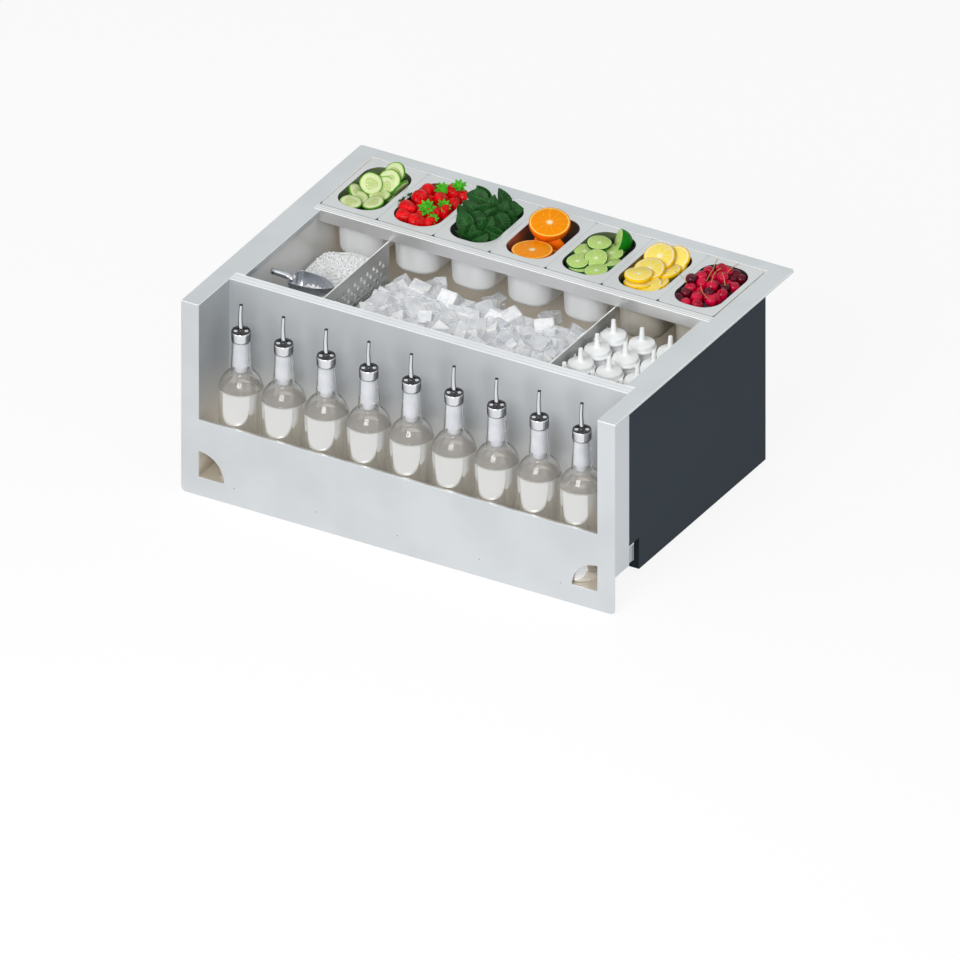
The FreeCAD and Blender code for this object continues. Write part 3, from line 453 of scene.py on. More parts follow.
def makeCamera():
    azimuth, elevation = math.radians(cameraSet["azimuth"]), math.radians(cameraSet["elevation"])
    level = math.cos(elevation)
    back = Vector((math.sin(azimuth) * level, -math.cos(azimuth) * level, math.sin(elevation)))
    data = bpy.data.cameras.new("camera")
    data.type = "ORTHO"
    data.ortho_scale = cameraSet["width"]
    data.clip_end = 50.0
    camera = bpy.data.objects.new("camera", data)
    camera.location = Vector(cameraSet["target"]) + back * cameraSet["distance"]
    camera.rotation_euler = back.to_track_quat("Z", "Y").to_euler()
    bpy.context.scene.collection.objects.link(camera)
    bpy.context.scene.camera = camera


lampSet = {"keyLamp": {"place": (-1.6, -1.9, 2.6), "size": 1.6, "power": 12.0},
           "topLamp": {"place": (0.1, 0.2, 2.8), "size": 2.4, "power": 4.0},
           "frontLamp": {"place": (0.45, -2.6, 1.95), "size": 1.3, "power": 62.0},
           "rightLamp": {"place": (2.4, -0.9, 1.5), "size": 1.4, "power": 7.0}}
lampAim = Vector((0, 0, 0.25))


def makeLamps():
    for name, values in lampSet.items():
        data = bpy.data.lights.new(name, "AREA")
        data.size = values["size"]
        data.energy = values["power"]
        lamp = bpy.data.objects.new(name, data)
        lamp.location = values["place"]
        lamp.rotation_euler = (lamp.location - lampAim).to_track_quat("Z", "Y").to_euler()
        bpy.context.scene.collection.objects.link(lamp)


def seenRay(tree):
    # 1 for what the camera, a reflection or a pane of glass looks at, 0 for light that falls on things
    rays = addNode(tree, "LightPath").outputs
    looked = maths("MAXIMUM", rays["Is Camera Ray"], rays["Is Glossy Ray"])
    return maths("MAXIMUM", looked, rays["Is Transmission Ray"])


def makeWorld():
    world = bpy.data.worlds.new("studio")
    bpy.context.scene.world = world
    world.use_nodes = True
    tree = world.node_tree
    strength = maths("MULTIPLY_ADD", seenRay(tree), 0.6, 0.39)
    fill(tree.nodes["Background"], Color=rgb(1, 1, 1), Strength=strength)


floorSet = {"half": 6.0, "colour": rgb(0.9, 0.9, 0.9), "glow": 0.9}


def makeFloor():
    half = floorSet["half"]
    material, tree, shader = newMaterial("floorPaper")
    fill(shader, Base_Color=floorSet["colour"], Roughness=0.9)
    glow = addNode(tree, "Emission", Color=rgb(1, 1, 1), Strength=0.995)
    mixed = mixShaders(times(seenRay(tree), floorSet["glow"]), shader, glow)
    fill(tree.nodes["Material Output"], Surface=mixed.outputs[0])
    mesh = bpy.data.meshes.new("floor")
    mesh.from_pydata([(*corner, 0) for corner in rectangle(-half, -half, half, half)], [], [(0, 1, 2, 3)])
    mesh.materials.append(material)
    floor = bpy.data.objects.new("floor", mesh)
    bpy.context.scene.collection.objects.link(floor)


makeCamera()
makeLamps()
makeWorld()
makeFloor()
bpy.context.scene.view_settings.view_transform = "Standard"
print("camera, lamps and floor set")


# sheet metal: merged copies of the CAD sheets with small rolled edges

def dressSheet(node, material, edge, body="station", rim=None):
    # the node's own mesh, doubles merged and flat faces joined, then a fine bevel on its folded edges; the bevel's
    # faces take the rim material, which on the top flange is near-white steel as a painted highlight
    source = bpy.data.objects[node]
    work = bmesh.new()
    work.from_mesh(source.data)
    bmesh.ops.remove_doubles(work, verts=work.verts, dist=1e-6)
    bmesh.ops.dissolve_limit(work, angle_limit=math.radians(0.5), verts=work.verts, edges=work.edges)
    mesh = bpy.data.meshes.new(node + "_skin")
    work.to_mesh(mesh)
    work.free()
    mesh.materials.append(material)
    mesh.materials.append(rim or material)
    mesh.polygons.foreach_set("use_smooth", np.full(len(mesh.polygons), True))
    mesh.set_sharp_from_angle(angle=math.radians(30))
    thing = bpy.data.objects.new(node + "_skin", mesh)
    bpy.context.scene.collection.objects.link(thing)
    bevel = thing.modifiers.new("rolledEdge", "BEVEL")
    bevel.width = edge
    bevel.segments = 2
    bevel.limit_method = "ANGLE"
    bevel.angle_limit = math.radians(40)
    bevel.harden_normals = True
    bevel.material = 1
    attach(thing, body)
    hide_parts(node)


def finishNode(node, material):
    mesh = bpy.data.objects[node].data
    mesh.materials.clear()
    mesh.materials.append(material)


dressSheet("top_flange", satinSteel, 0.7 * mm, rim=paintedHighlightSteel)
dressSheet("front_fascia", fasciaSteel, 0.5 * mm)
dressSheet("rail_trough", railSteel, 0.4 * mm)
dressSheet("rim_cap", rimSteel, 1.2 * mm)
dressSheet("garnish_ledge", ledgeSteel, 0.6 * mm)
print("sheet metal dressed")


# bottles in the rail: clear glass shells with chrome free-flow pourers

bottleSet = {"wall": 2.2 * mm, "level": 1 * mm, "bulge": 3.2 * mm, "heel": 5 * mm, "shoulderBend": 6 * mm, "count": 9,
             "segments": 64, "body": 169 * mm, "shoulder": 29 * mm, "neck": 18.5 * mm, "lip": 15 * mm}


def bottleProfile(low, high, radius):
    # outer wall from the middle of the base up to the lip, then the inner wall down to the level of the clear filling
    wall, heel, bend = bottleSet["wall"], bottleSet["heel"], bottleSet["shoulderBend"]
    neck, lip = bottleSet["neck"], bottleSet["lip"]
    bodyTop = low + bottleSet["body"]
    neckFoot = bodyTop + bottleSet["shoulder"]
    slope = math.degrees(math.atan2(bottleSet["shoulder"], radius - neck))
    foot = arcPoints((radius - heel, low + heel), heel, -90, 0, 7)
    rounded = arcPoints((radius - bend, bodyTop - bend * math.tan(math.radians(slope / 4))), bend, 0, 90 - slope, 7)
    t = np.linspace(0.2, 0.9, 6)[:, None]
    tilt = math.radians(90 - slope)
    swell = bottleSet["bulge"] * 4 * t * (1 - t) * [[math.cos(tilt), math.sin(tilt)]]
    swollen = [[radius, bodyTop]] * (1 - t) + [[neck, neckFoot]] * t + swell
    neckBend = inMm([(0.8, -1.2), (-0.1, 0.8), (-0.6, 4)]) + [neck, neckFoot]
    upper = np.concatenate([rounded, swollen, neckBend, [(lip + 1.2 * mm, neckFoot + 30 * mm), (lip, high)]])
    base = [(0, low + 2.5 * mm), (radius - 14 * mm, low + 1.6 * mm)]
    inward = np.clip(upper[::-1] - [wall, 0], 0, None)
    level = bodyTop - bottleSet["level"]
    filling = [(radius - wall, level + 1 * mm), (radius - wall - 1 * mm, level), (0, level)]
    return np.concatenate([base, foot, upper, inward, filling])


def lightThrough(tree, surface):
    # lets lamp light and bounced light pass straight through, so that glass throws no dark shadow
    rays = addNode(tree, "LightPath").outputs
    clear = addNode(tree, "BsdfTransparent", Color=rgb(0.95, 0.95, 0.95))
    mixed = mixShaders(maths("MAXIMUM", rays["Is Shadow Ray"], rays["Is Diffuse Ray"]), surface, clear)
    fill(tree.nodes["Material Output"], Surface=mixed.outputs[0])


def glassMaterial():
    # clear glass with a painted dark outline, a matt painted tone below the neck that stands in for the wall seen
    # through it, grey on the shoulder and warm over the filling, and a mirror over the filled body
    material, tree, shader = newMaterial("clearGlass")
    height = split(objectPlace(tree))["Z"]
    geometry = addNode(tree, "NewGeometry").outputs
    filled = inverse(band(height, 0.202, 0.206))
    outside = inverse(geometry["Backfacing"])
    wall = inverse(band(maths("ABSOLUTE", split(geometry["Normal"])["Z"]), 0.3, 0.7))
    outline = band(addNode(tree, "LayerWeight", Blend=0.5).outputs["Facing"], 0.72, 0.95)
    # painted shade: the glass's colour darkens round its outline
    tint = blend(times(outline, outside), rgb(0.98, 0.985, 0.98), rgb(0.22, 0.22, 0.22))
    fill(shader, Base_Color=tint, Roughness=0.02, IOR=1.42, Transmission_Weight=1.0,
         Normal=bump(noise(objectPlace(tree), 40.0, 1.0), 0.02, 0.002))
    # painted tone for the wall seen through the glass: grey above the filling, warm beige over it
    matt = addNode(tree, "BsdfDiffuse", Color=blend(filled, srgb(164, 161, 157), srgb(222, 211, 193)))
    belowNeck = inverse(band(height, 0.228, 0.238))
    quiet = mixShaders(times(belowNeck, 0.36, inverse(outline), outside), shader, matt)
    mirror = addNode(tree, "BsdfGlossy", Color=rgb(0.88, 0.93, 0.98), Roughness=0.03)
    lightThrough(tree, mixShaders(times(filled, wall, inverse(outline), 0.5, outside), quiet, mirror))
    return material


def plainMaterial(name, dark, light, roughness, scale=60.0, dents=0.05, metallic=0.0):
    # two close shades clouded together, with a fine uneven surface
    material, tree, shader = newMaterial(name)
    cloud = noise(objectPlace(tree), scale, 4.0)
    fill(shader, Base_Color=blend(band(cloud, 0.3, 0.7), dark, light), Metallic=metallic,
         Roughness=maths("MULTIPLY_ADD", cloud, 0.12, roughness - 0.06),
         Normal=bump(noise(objectPlace(tree), scale * 20, 2.0), dents, 0.0005))
    return material


def chromeTint(shade, parts):
    # painted reflection: bright where it faces out, painted dark round its outline where dark surroundings would show
    facing = addNode(shade.id_data, "LayerWeight", Blend=0.4).outputs["Facing"]
    return blend(band(facing, 0.1, 0.62), shade, srgb(40, 42, 45))


clearGlass = glassMaterial()
chrome = steelMaterial("pourerChrome", srgb(226, 228, 231), 0.12, 0.04, tint=chromeTint)
stopperRubber = plainMaterial("stopperRubber", rgb(0.006, 0.006, 0.007), rgb(0.014, 0.014, 0.015), 0.22, 90.0, 0.03)
corkPlastic = plainMaterial("corkPlastic", srgb(200, 202, 208), srgb(212, 214, 219), 0.4)
pourerSet = {"cup": 19 * mm, "spoutFoot": 4.3 * mm, "spoutTip": 3.0 * mm, "bow": 1.2 * mm}


def makePourer(tag, x, y, low, high):
    # a cup over the lip with a bowed spout, a rubber disc with two pale raised spots in it as painted highlights, and a
    # stepped plug down the neck
    body, spot, top = "bottle_" + tag, (x, y, 0), low + pourerSet["cup"]
    cup = inMm([(13.4, -0.5), (15.4, -0.2), (16.2, 1), (16.3, 3), (16.5, 14), (16.4, 16.5), (15.9, 17.4), (15, 17.8),
                (13.4, 16), (13.2, 0), (13.4, -0.5)], low)
    path = smoothLine([(x, y, top - 2 * mm), (x - 0.9 * mm, y, top + 14 * mm),
                       (x - pourerSet["bow"], y, top + 28 * mm), (x, y, high - 1 * mm)], 22)
    spout = tube(path, np.linspace(pourerSet["spoutFoot"], pourerSet["spoutTip"], len(path)), 20)
    piece("pourerMetal_" + tag, joinShapes([lathe(cup, 48, spot), spout]), chrome, body,
          "pourer_" + tag, autoAngle=50)
    disc = inMm([(0, 1), (5, 1), (6.5, -1), (12.4, -1.4), (13.4, 0.3), (14.4, 0.7), (15.6, 0.1), (15.9, -1.2),
                 (15.2, -2), (13.6, -4), (0, -4)], top)
    tip = inMm([(0, -2), (2.8, -2), (3.2, -1.4), (3, -0.3), (1.7, 0), (1.2, -0.8), (0, -0.8)], high)
    # two pale raised spots on the disc: painted highlights
    highlightSpot = inMm([(0, -0.2), (2.4, -0.3), (3.7, -0.9), (3.8, -1.8), (0, -2)], top)
    highlightSpots = [lathe(highlightSpot, 20, (x + side * 7.6 * mm, y + side * 4.4 * mm, 0)) for side in (-1, 1)]
    piece("pourerVents_" + tag, joinShapes(highlightSpots), corkPlastic, body, autoAngle=50)
    seal = joinShapes([lathe(disc, 40, spot), lathe(tip, 20, (path[-1][0], y, 0))])
    piece("pourerSeal_" + tag, seal, stopperRubber, body, autoAngle=50)
    plug = inMm([(0, -58), (9.4, -58), (10.4, -57), (10.8, -47), (14.4, -46), (13.6, -20), (12.4, 0), (0, 0)], low)
    piece("pourerPlug_" + tag, lathe(plug, 32, spot), corkPlastic, body, autoAngle=50)


def makeBottles():
    for number in range(1, bottleSet["count"] + 1):
        tag = str(number)
        lo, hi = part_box("bottle_" + tag)
        x, y = (lo.x + hi.x) / 2, (lo.y + hi.y) / 2
        profile = bottleProfile(lo.z, hi.z, (hi.x - lo.x) / 2)
        piece("bottleGlass_" + tag, lathe(profile, bottleSet["segments"], (x, y, 0)), clearGlass, "bottle_" + tag,
              "bottle_" + tag, autoAngle=60)
        makePourer(tag, x, y, hi.z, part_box("pourer_" + tag)[1].z)


makeBottles()
print("bottles and pourers made")


# squeeze bottles with their nozzle caps

squeezeSet = {"radius": 25.75 * mm, "heel": 4 * mm, "columns": 3, "rows": 4, "segments": 40}
softPlastic = plainMaterial("softPlastic", rgb(0.74, 0.75, 0.76), rgb(0.80, 0.81, 0.82), 0.42, 25.0)
capPlastic = plainMaterial("capPlastic", rgb(0.82, 0.84, 0.84), rgb(0.87, 0.89, 0.89), 0.38, 25.0)


def makeSqueezeBottles():
    # turned bodies with round shoulders; caps with a collar, an upright skirt, a shallow cone and a nozzle
    lo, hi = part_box("squeeze_bottles")
    capLow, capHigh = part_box("squeeze_caps")
    low, neck, top = lo.z, capLow.z, capHigh.z
    radius, heel, segments = squeezeSet["radius"], squeezeSet["heel"], squeezeSet["segments"]
    shoulder = inMm([(-0.3, -20), (-1.6, -10), (-6, -3)], neck) + [radius, 0]
    side = np.concatenate([[(radius, low + 120 * mm)], shoulder, inMm([(17.5, -0.4), (17, 1)], neck)])
    body = np.concatenate([[(0, low)], arcPoints((radius - heel, low + heel), heel, -90, 0, 6), smoothLine(side, 16),
                           [(0, neck + 1 * mm)]])
    cap = np.concatenate([
        inMm([(0, 0), (24, 0), (24.7, 0.6), (24.7, 3), (24.2, 3.8), (22.6, 4.2), (22.3, 5), (22.1, 10.4),
              (21.6, 11.4), (20.6, 11.9), (12, 14.2), (7, 16), (5.6, 17.4), (5, 20)], neck),
        inMm([(3.7, -2), (3.5, -0.4), (2.9, 0), (1.6, 0), (1.3, -3), (0, -3)], top)])
    spots = [(x, y, 0) for x in np.linspace(lo.x + radius, hi.x - radius, squeezeSet["columns"])
             for y in np.linspace(lo.y + radius, hi.y - radius, squeezeSet["rows"])]
    piece("squeezeBodies", joinShapes([lathe(body, segments, spot) for spot in spots]), softPlastic,
          node="squeeze_bottles", autoAngle=60)
    piece("squeezeCapTops", joinShapes([lathe(cap, segments, spot) for spot in spots]), capPlastic,
          node="squeeze_caps", autoAngle=40)


makeSqueezeBottles()
print("squeeze bottles made")


# ice: clear and cloudy cubes over a packed bed, and a heap of crushed ice

cubeSet = {"side": 34 * mm, "round": 0.16, "sink": 9 * mm, "rows": 4, "columns": 7, "spin": 37, "tip": 16,
           "frontDrop": 66 * mm, "backDrop": 88 * mm, "pitch": 25 * mm, "fillLeast": 0.62, "fillMost": 0.84,
           "fillSink": 0.42, "margin": 0.52, "apart": 0.72, "bedSink": 10 * mm, "cloudyShare": 0.42, "seed": 7}
crushSet = {"count": 2400, "least": 3 * mm, "most": 7 * mm, "margin": 6 * mm, "bedSink": 2 * mm, "seed": 11}


def roundedCube(side, roundShare):
    # each face is a grid of 4 by 4 points; a point outside the inner cube is drawn in to a rounding about it
    inner = 1 - roundShare
    ticks = np.array([-1, -inner, inner, 1])
    a, b = np.meshgrid(ticks, ticks, indexing="ij")
    faces = []
    for axis in range(3):
        for end in (-1, 1):
            grid = np.stack([a, b], 2) if end > 0 else np.stack([b, a], 2)
            grid = np.insert(grid, 2, end, 2)
            faces.append(np.roll(grid, axis, 2))
    grids = np.stack(faces)
    core = np.clip(grids, -inner, inner)
    away = grids - core
    away = away / np.linalg.norm(away, axis=3, keepdims=True)
    shapes = [gridShape(grid, False) for grid in (core + roundShare * away) * side / 2]
    return welded(joinShapes(shapes))


def welded(shape):
    # points that coincide become one
    first, back = np.unique(np.round(shape["points"], 7), axis=0, return_index=True, return_inverse=True)[1:]
    back = back.ravel()
    return {"points": shape["points"][first], "quads": back[shape["quads"]], "tris": back[shape["tris"]]}


def randomTurn(random):
    # an even random rotation from a unit quaternion
    drawn = random.normal(size=4)
    w, x, y, z = drawn / np.linalg.norm(drawn)
    return np.array([[1 - 2 * (y * y + z * z), 2 * (x * y - w * z), 2 * (x * z + w * y)],
                     [2 * (x * y + w * z), 1 - 2 * (x * x + z * z), 2 * (y * z - w * x)],
                     [2 * (x * z - w * y), 2 * (y * z + w * x), 1 - 2 * (x * x + y * y)]])


def iceMaterial(name, through, light, dark, roughness):
    # cracks and trapped air cloud the colour, roughen it and dent it
    material, tree, shader = newMaterial(name)
    veins = noise(objectPlace(tree), 60.0, 5.0, Roughness=0.65)
    fill(shader, Base_Color=blend(band(veins, 0.38, 0.62), dark, light), IOR=1.31, Transmission_Weight=through,
         Roughness=maths("MULTIPLY_ADD", veins, 0.3, roughness - 0.12), Normal=bump(veins, 0.4, 0.002))
    lightThrough(tree, shader)
    return material


clearIce = iceMaterial("clearIce", 0.72, srgb(255, 255, 255), srgb(236, 240, 245), 0.1)
cloudyIce = iceMaterial("cloudyIce", 0.12, srgb(255, 255, 255), srgb(238, 242, 247), 0.26)
snowIce = iceMaterial("snowIce", 0.0, srgb(252, 253, 255), srgb(234, 238, 243), 0.45)
crushIce = iceMaterial("crushIce", 0.0, srgb(255, 255, 255), srgb(250, 252, 254), 0.4)


def heightBed(lo, hi, heights, sink, columns=60, rows=40):
    # a closed block between two corners, its top a height function of x and y less the sink
    xs, ys = np.meshgrid(np.linspace(lo.x, hi.x, columns), np.linspace(lo.y, hi.y, rows), indexing="ij")
    top = np.stack([xs, ys, heights(xs, ys) - sink], 2)
    rim = np.concatenate([top[:-1, 0], top[-1, :-1], top[:0:-1, -1], top[0, :0:-1]])
    foot = rim.copy()
    foot[:, 2] = lo.z
    middle = np.tile([(lo.x + hi.x) / 2, (lo.y + hi.y) / 2, lo.z], (len(rim), 1))
    sides = gridShape(np.stack([middle, foot, rim]), True, True, False)
    return joinShapes([gridShape(top, False), sides])


def panGaps():
    # the corners that face each other across each gap between two pans
    boxes = [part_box("garnish_pan_%d" % number) for number in range(1, 8)]
    return [(here[1], there[0]) for here, there in zip(boxes, boxes[1:])]


def makeCubeIce():
    # whole cubes stand half sunk where the part has them, smaller ones fill the gaps between
    lo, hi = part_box("cube_ice")
    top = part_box("top_flange")[1].z
    random = np.random.default_rng(cubeSet["seed"])
    side, pitch = cubeSet["side"], cubeSet["pitch"]
    reach, margin = side * math.sqrt(3) / 2, side * cubeSet["margin"]
    cube = roundedCube(side, cubeSet["round"])
    clear, cloudy, spots = [], [], []

    def surface(x, y):
        # falls evenly from the front to the back
        return top - cubeSet["frontDrop"] + (cubeSet["frontDrop"] - cubeSet["backDrop"]) * (y - lo.y) / (hi.y - lo.y)

    def drop(place, rotation):
        (cloudy if random.random() < cubeSet["cloudyShare"] else clear).append(moved(cube, place, rotation))

    for row in range(cubeSet["rows"]):
        y = lo.y + reach + row / (cubeSet["rows"] - 1) * (hi.y - lo.y - 2 * reach)
        for column in range(cubeSet["columns"] - row % 2):
            x = lo.x + reach + (column + row % 2 / 2) / (cubeSet["columns"] - 1) * (hi.x - lo.x - 2 * reach)
            spin = cubeSet["spin"] * (3 * row + 2 * column + 1)
            tip = cubeSet["tip"] * (1 + (row + 2 * column) % 3)
            drop((x, y, surface(x, y) - cubeSet["sink"]), turn("z", spin) @ turn("y", tip))
            spots.append((x, y))
    for x in np.arange(lo.x + margin, hi.x - margin + pitch / 2, pitch):
        for y in np.arange(lo.y + margin, hi.y - margin + pitch / 2, pitch):
            jitter = random.uniform(-0.3, 0.3, 3) * pitch
            px = np.clip(x + jitter[0], lo.x + margin, hi.x - margin)
            py = np.clip(y + jitter[1], lo.y + margin, hi.y - margin)
            near = np.linalg.norm(np.array(spots) - (px, py), axis=1).min()
            size = random.uniform(cubeSet["fillLeast"], cubeSet["fillMost"])
            pz = surface(px, py) - side * size * cubeSet["fillSink"] + jitter[2] * 0.5 + 2 * mm
            rotation = randomTurn(random) * size
            if near > cubeSet["apart"] * side:
                drop((px, py, pz), rotation)
    # two more behind the apron between each pair of the middle pans
    for here, there in panGaps()[1:5]:
        x = (here.x + there.x) / 2
        for number, y in enumerate((hi.y + 14 * mm, hi.y + 38 * mm)):
            size = 0.66 - 0.06 * number
            place = (x + random.uniform(-2, 2) * mm, y, surface(x, hi.y) - (16 + 6 * number) * mm)
            drop(place, turn("z", random.uniform(0, 90)) @ turn("x", random.uniform(-25, 25)) * size)
    piece("iceCubesClear", joinShapes(clear), clearIce, node="cube_ice", smooth=False)
    piece("iceCubesCloudy", joinShapes(cloudy), cloudyIce, smooth=False)
    piece("iceCubeBed", heightBed(lo, hi, surface, cubeSet["bedSink"]), snowIce, autoAngle=40)


def shard():
    # a five-sided splinter, unit length, drawn in to a point at both ends
    return lathe([(0, -0.5), (0.5, -0.2), (0.4, 0.28), (0, 0.5)], 5)


def makeCrushedIce():
    # a heap that rises towards the back and the divider, strewn with splinters
    lo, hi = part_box("crushed_ice")
    scoopLow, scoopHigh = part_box("ice_scoop")
    scoopX, scoopY = scoopHigh.x - 45 * mm, (scoopLow.y + scoopHigh.y) / 2
    random = np.random.default_rng(crushSet["seed"])
    margin = crushSet["margin"]

    def surface(x, y):
        # uneven slope, falling off at the left and back walls, with a mound under the scoop's bowl
        u, v = (x - lo.x) / (hi.x - lo.x), (y - lo.y) / (hi.y - lo.y)
        slope = 0.80 + 0.2 * v ** 1.6 + 0.06 * u + 0.02 * np.sin(9 * u + 3 * v) * np.cos(8 * v - 2 * u)
        slope = slope - 0.08 * np.exp(-u / 0.14) - 0.06 * np.exp(-(1 - v) / 0.1) * (1 - 0.6 * u)
        mound = np.exp(-((x - scoopX) / (40 * mm)) ** 2 - ((y - scoopY) / (26 * mm)) ** 2)
        return lo.z + (hi.z - lo.z - 4 * mm) * np.clip(slope + 0.08 * mound, 0, 0.985)

    piece("crushedBed", heightBed(lo, hi, surface, crushSet["bedSink"]), crushIce, node="crushed_ice",
          autoAngle=40)
    chip, chips = shard(), []
    for number in range(crushSet["count"]):
        x, y = random.uniform(lo.x + margin, hi.x - margin), random.uniform(lo.y + margin, hi.y - margin)
        size = random.uniform(crushSet["least"], crushSet["most"])
        stretch = np.diag(random.uniform(0.6, 1.1, 3)) * size
        place = (x, y, surface(x, y) - 0.8 * mm + random.uniform(-1.6, 1.6) * mm)
        chips.append(moved(chip, place, randomTurn(random) @ stretch))
    piece("crushedChips", joinShapes(chips), crushIce, smooth=False)


makeCubeIce()
makeCrushedIce()
print("ice laid")


# ice scoop

scoopSet = {"radius": 23 * mm, "depth": 34 * mm, "wall": 1.3 * mm, "grip": 5.4 * mm, "gripLength": 40 * mm,
            "rows": 40, "columns": 33, "chips": 90}
scoopSteel = steelMaterial("scoopSteel", srgb(178, 182, 187), 0.26, 0.08, metallic=0.9)


def scoopBowl(start, end, y, rim):
    # a boat: half a round section along the bowl, closing bluntly at the back, drawing in and up to a pointed lip
    s = np.linspace(0, 1, scoopSet["rows"])[:, None]
    angle = np.radians(np.linspace(-95, 95, scoopSet["columns"]))[None]
    closing = np.sqrt(np.clip(1 - (1 - np.clip(s / 0.16, 0, 1)) ** 2, 0, 1))
    fall = np.clip((s - 0.35) / 0.65, 0, 1)
    width = scoopSet["radius"] * (0.35 + 0.65 * closing) * np.clip(1 - fall ** 2.2, 0.02, 1)
    depth = scoopSet["depth"] * (0.2 + 0.8 * closing) * np.clip(1 - 0.9 * fall ** 1.7, 0.05, 1)
    x = start + (end - start) * s + 0 * angle
    return gridShape(np.stack([x, y + width * np.sin(angle), rim - depth * np.clip(np.cos(angle), 0, 1)], 2), False)


def thicken(thing, label, thickness):
    solid = thing.modifiers.new(label, "SOLIDIFY")
    solid.thickness = thickness
    solid.offset = 0.0


def makeScoop():
    # the bowl, a round grip that narrows to its end with a black disc in it for its hole, painted shade, and a little
    # ice
    lo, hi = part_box("ice_scoop")
    y, rim, grip = (lo.y + hi.y) / 2, hi.z - 1.5 * mm, scoopSet["grip"]
    start = lo.x + scoopSet["gripLength"]
    bowl = scoopBowl(start, hi.x - 0.5 * mm, y, rim)
    thicken(piece("scoopBowl", bowl, scoopSteel, "scoop", "ice_scoop"), "bowlWall", scoopSet["wall"])
    path = smoothLine([(start + 3 * mm, y, rim - 9 * mm), (start - 6 * mm, y, rim - 5 * mm),
                       (start - 16 * mm, y, rim - 3.5 * mm), (lo.x + 8 * mm, y, rim - 3 * mm),
                       (lo.x + 1 * mm, y, rim - 3 * mm)], 24)
    t = np.linspace(0, 1, len(path))
    rounding = np.sqrt(np.clip(1 - ((t - 0.94) / 0.08).clip(0, 1) ** 2, 0.25, 1))
    piece("scoopGrip", tube(path, grip * (0.75 + 0.25 * np.clip(t / 0.3, 0, 1)) * rounding, 20), scoopSteel, "scoop")
    # a black disc stands for the hole: painted shade
    holeShade = moved(lathe(inMm([(0, 0), (2.1, 0), (2.1, 0.5), (0, 0.7)]), 20),
                 (lo.x + 7 * mm, y - grip + 0.3 * mm, rim - 2.6 * mm), turn("x", 90))
    piece("scoopGripHole", holeShade, stopperRubber, "scoop")
    random = np.random.default_rng(crushSet["seed"] + 1)
    chip, chips = shard(), []
    for number in range(scoopSet["chips"]):
        x, across = random.uniform(start + 22 * mm, hi.x - 34 * mm), random.uniform(-11, 11) * mm
        bottom = rim - scoopSet["depth"] * 0.8 + abs(across) * 0.5
        size = random.uniform(4, 7) * mm
        place = (x, y + across, bottom + random.uniform(2, 8) * mm)
        chips.append(moved(chip, place, randomTurn(random) @ np.diag(random.uniform(0.5, 1.0, 3)) * size))
    piece("scoopIce", joinShapes(chips), crushIce, "scoop", smooth=False)


makeScoop()
print("scoop made")


# the rest of the station keeps its CAD shapes under its own finishes

casingPaint = plainMaterial("casingPaint", srgb(29, 43, 54), srgb(33, 47, 58), 0.5, 30.0, 0.03)
fill(casingPaint.node_tree.nodes["Principled BSDF"], Specular_IOR_Level=0.12)
foam = plainMaterial("foam", srgb(226, 214, 178), srgb(238, 228, 196), 0.9, 120.0, 0.3)
sealRubber = plainMaterial("sealRubber", srgb(28, 28, 30), srgb(40, 40, 42), 0.6, 90.0)
drainBrass = plainMaterial("drainBrass", srgb(176, 142, 84), srgb(200, 168, 104), 0.28, 60.0, metallic=1.0)
hemSteel = steelMaterial("hemSteel", srgb(190, 187, 180), 0.5, metallic=0.6)
bracketSteel = steelMaterial("bracketSteel", srgb(176, 180, 186), 0.4, metallic=0.6)
finishes = {"ice_well": wellSteel, "rear_ledge": wellSteel, "joining_brackets": brightSteel, "ice_grate": wellSteel,
            "divider_guides": wellSteel, "left_divider": dividerSteel, "right_divider": dividerSteel,
            "outer_casing": casingPaint, "insulation": foam, "flange_seal": sealRubber,
            "drain_strainer": brightSteel, "drain_tail": drainBrass, "drain_nut": drainBrass}
for node, material in finishes.items():
    finishNode(node, material)
for number in range(1, 8):
    dressSheet("garnish_pan_%d" % number, panSteel, 0.4 * mm, "pan_%d" % number)
print("remaining finishes set")


# trim: the window's hem, light seams between the pans, dark pins at their corners as painted shade, painted highlight
# strips along the divider tops, and bracket plates

trimSet = {"post": 34 * mm, "sill": 146 * mm, "hem": 4.4 * mm, "plate": 19 * mm, "plateLow": 26 * mm,
           "plateHigh": 59.5 * mm}


def makeHem():
    lo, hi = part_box("front_fascia")
    post, sill, back = trimSet["post"], trimSet["sill"], hi.y + trimSet["hem"]
    outline = [(hi.y, sill - 1.4 * mm), (back, sill - 1.4 * mm), (back, sill - 0.2 * mm), (hi.y, sill)]
    piece("windowHem", bar(outline, lo.x + post, hi.x - post, 0), hemSteel, autoAngle=30)


def makeSeams():
    # a strip with a round far end fills each gap between two pans
    seams = []
    for here, there in panGaps():
        middle, half = (here.x + there.x) / 2, (there.x - here.x) / 2 - 0.05 * mm
        near, far, top = there.y + 7 * mm, here.y - 1 * mm, here.z
        seams.append(bar(rectangle(middle - half, top - 1.2 * mm, middle + half, top - 0.35 * mm), near, far, 1))
        end = inMm([(0, -1.2), (2.6, -1.2), (2.6, -0.35), (0, -0.35)], top)
        seams.append(lathe(end, 16, (middle, far - 1.2 * mm, 0)))
    piece("panSeams", joinShapes(seams), satinSteel, autoAngle=30)


def makeDividerEdges():
    # a near-white strip along each divider's top edge: painted highlight
    for name in ("left_divider", "right_divider"):
        low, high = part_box(name)
        outline = rectangle(low.x - 0.1 * mm, high.z - 1 * mm, high.x + 0.1 * mm, high.z + 0.1 * mm)
        edge = bar(outline, low.y + 0.2 * mm, high.y - 0.2 * mm, 1)
        piece(name + "_edge", edge, paintedHighlightSteel, name, autoAngle=30)


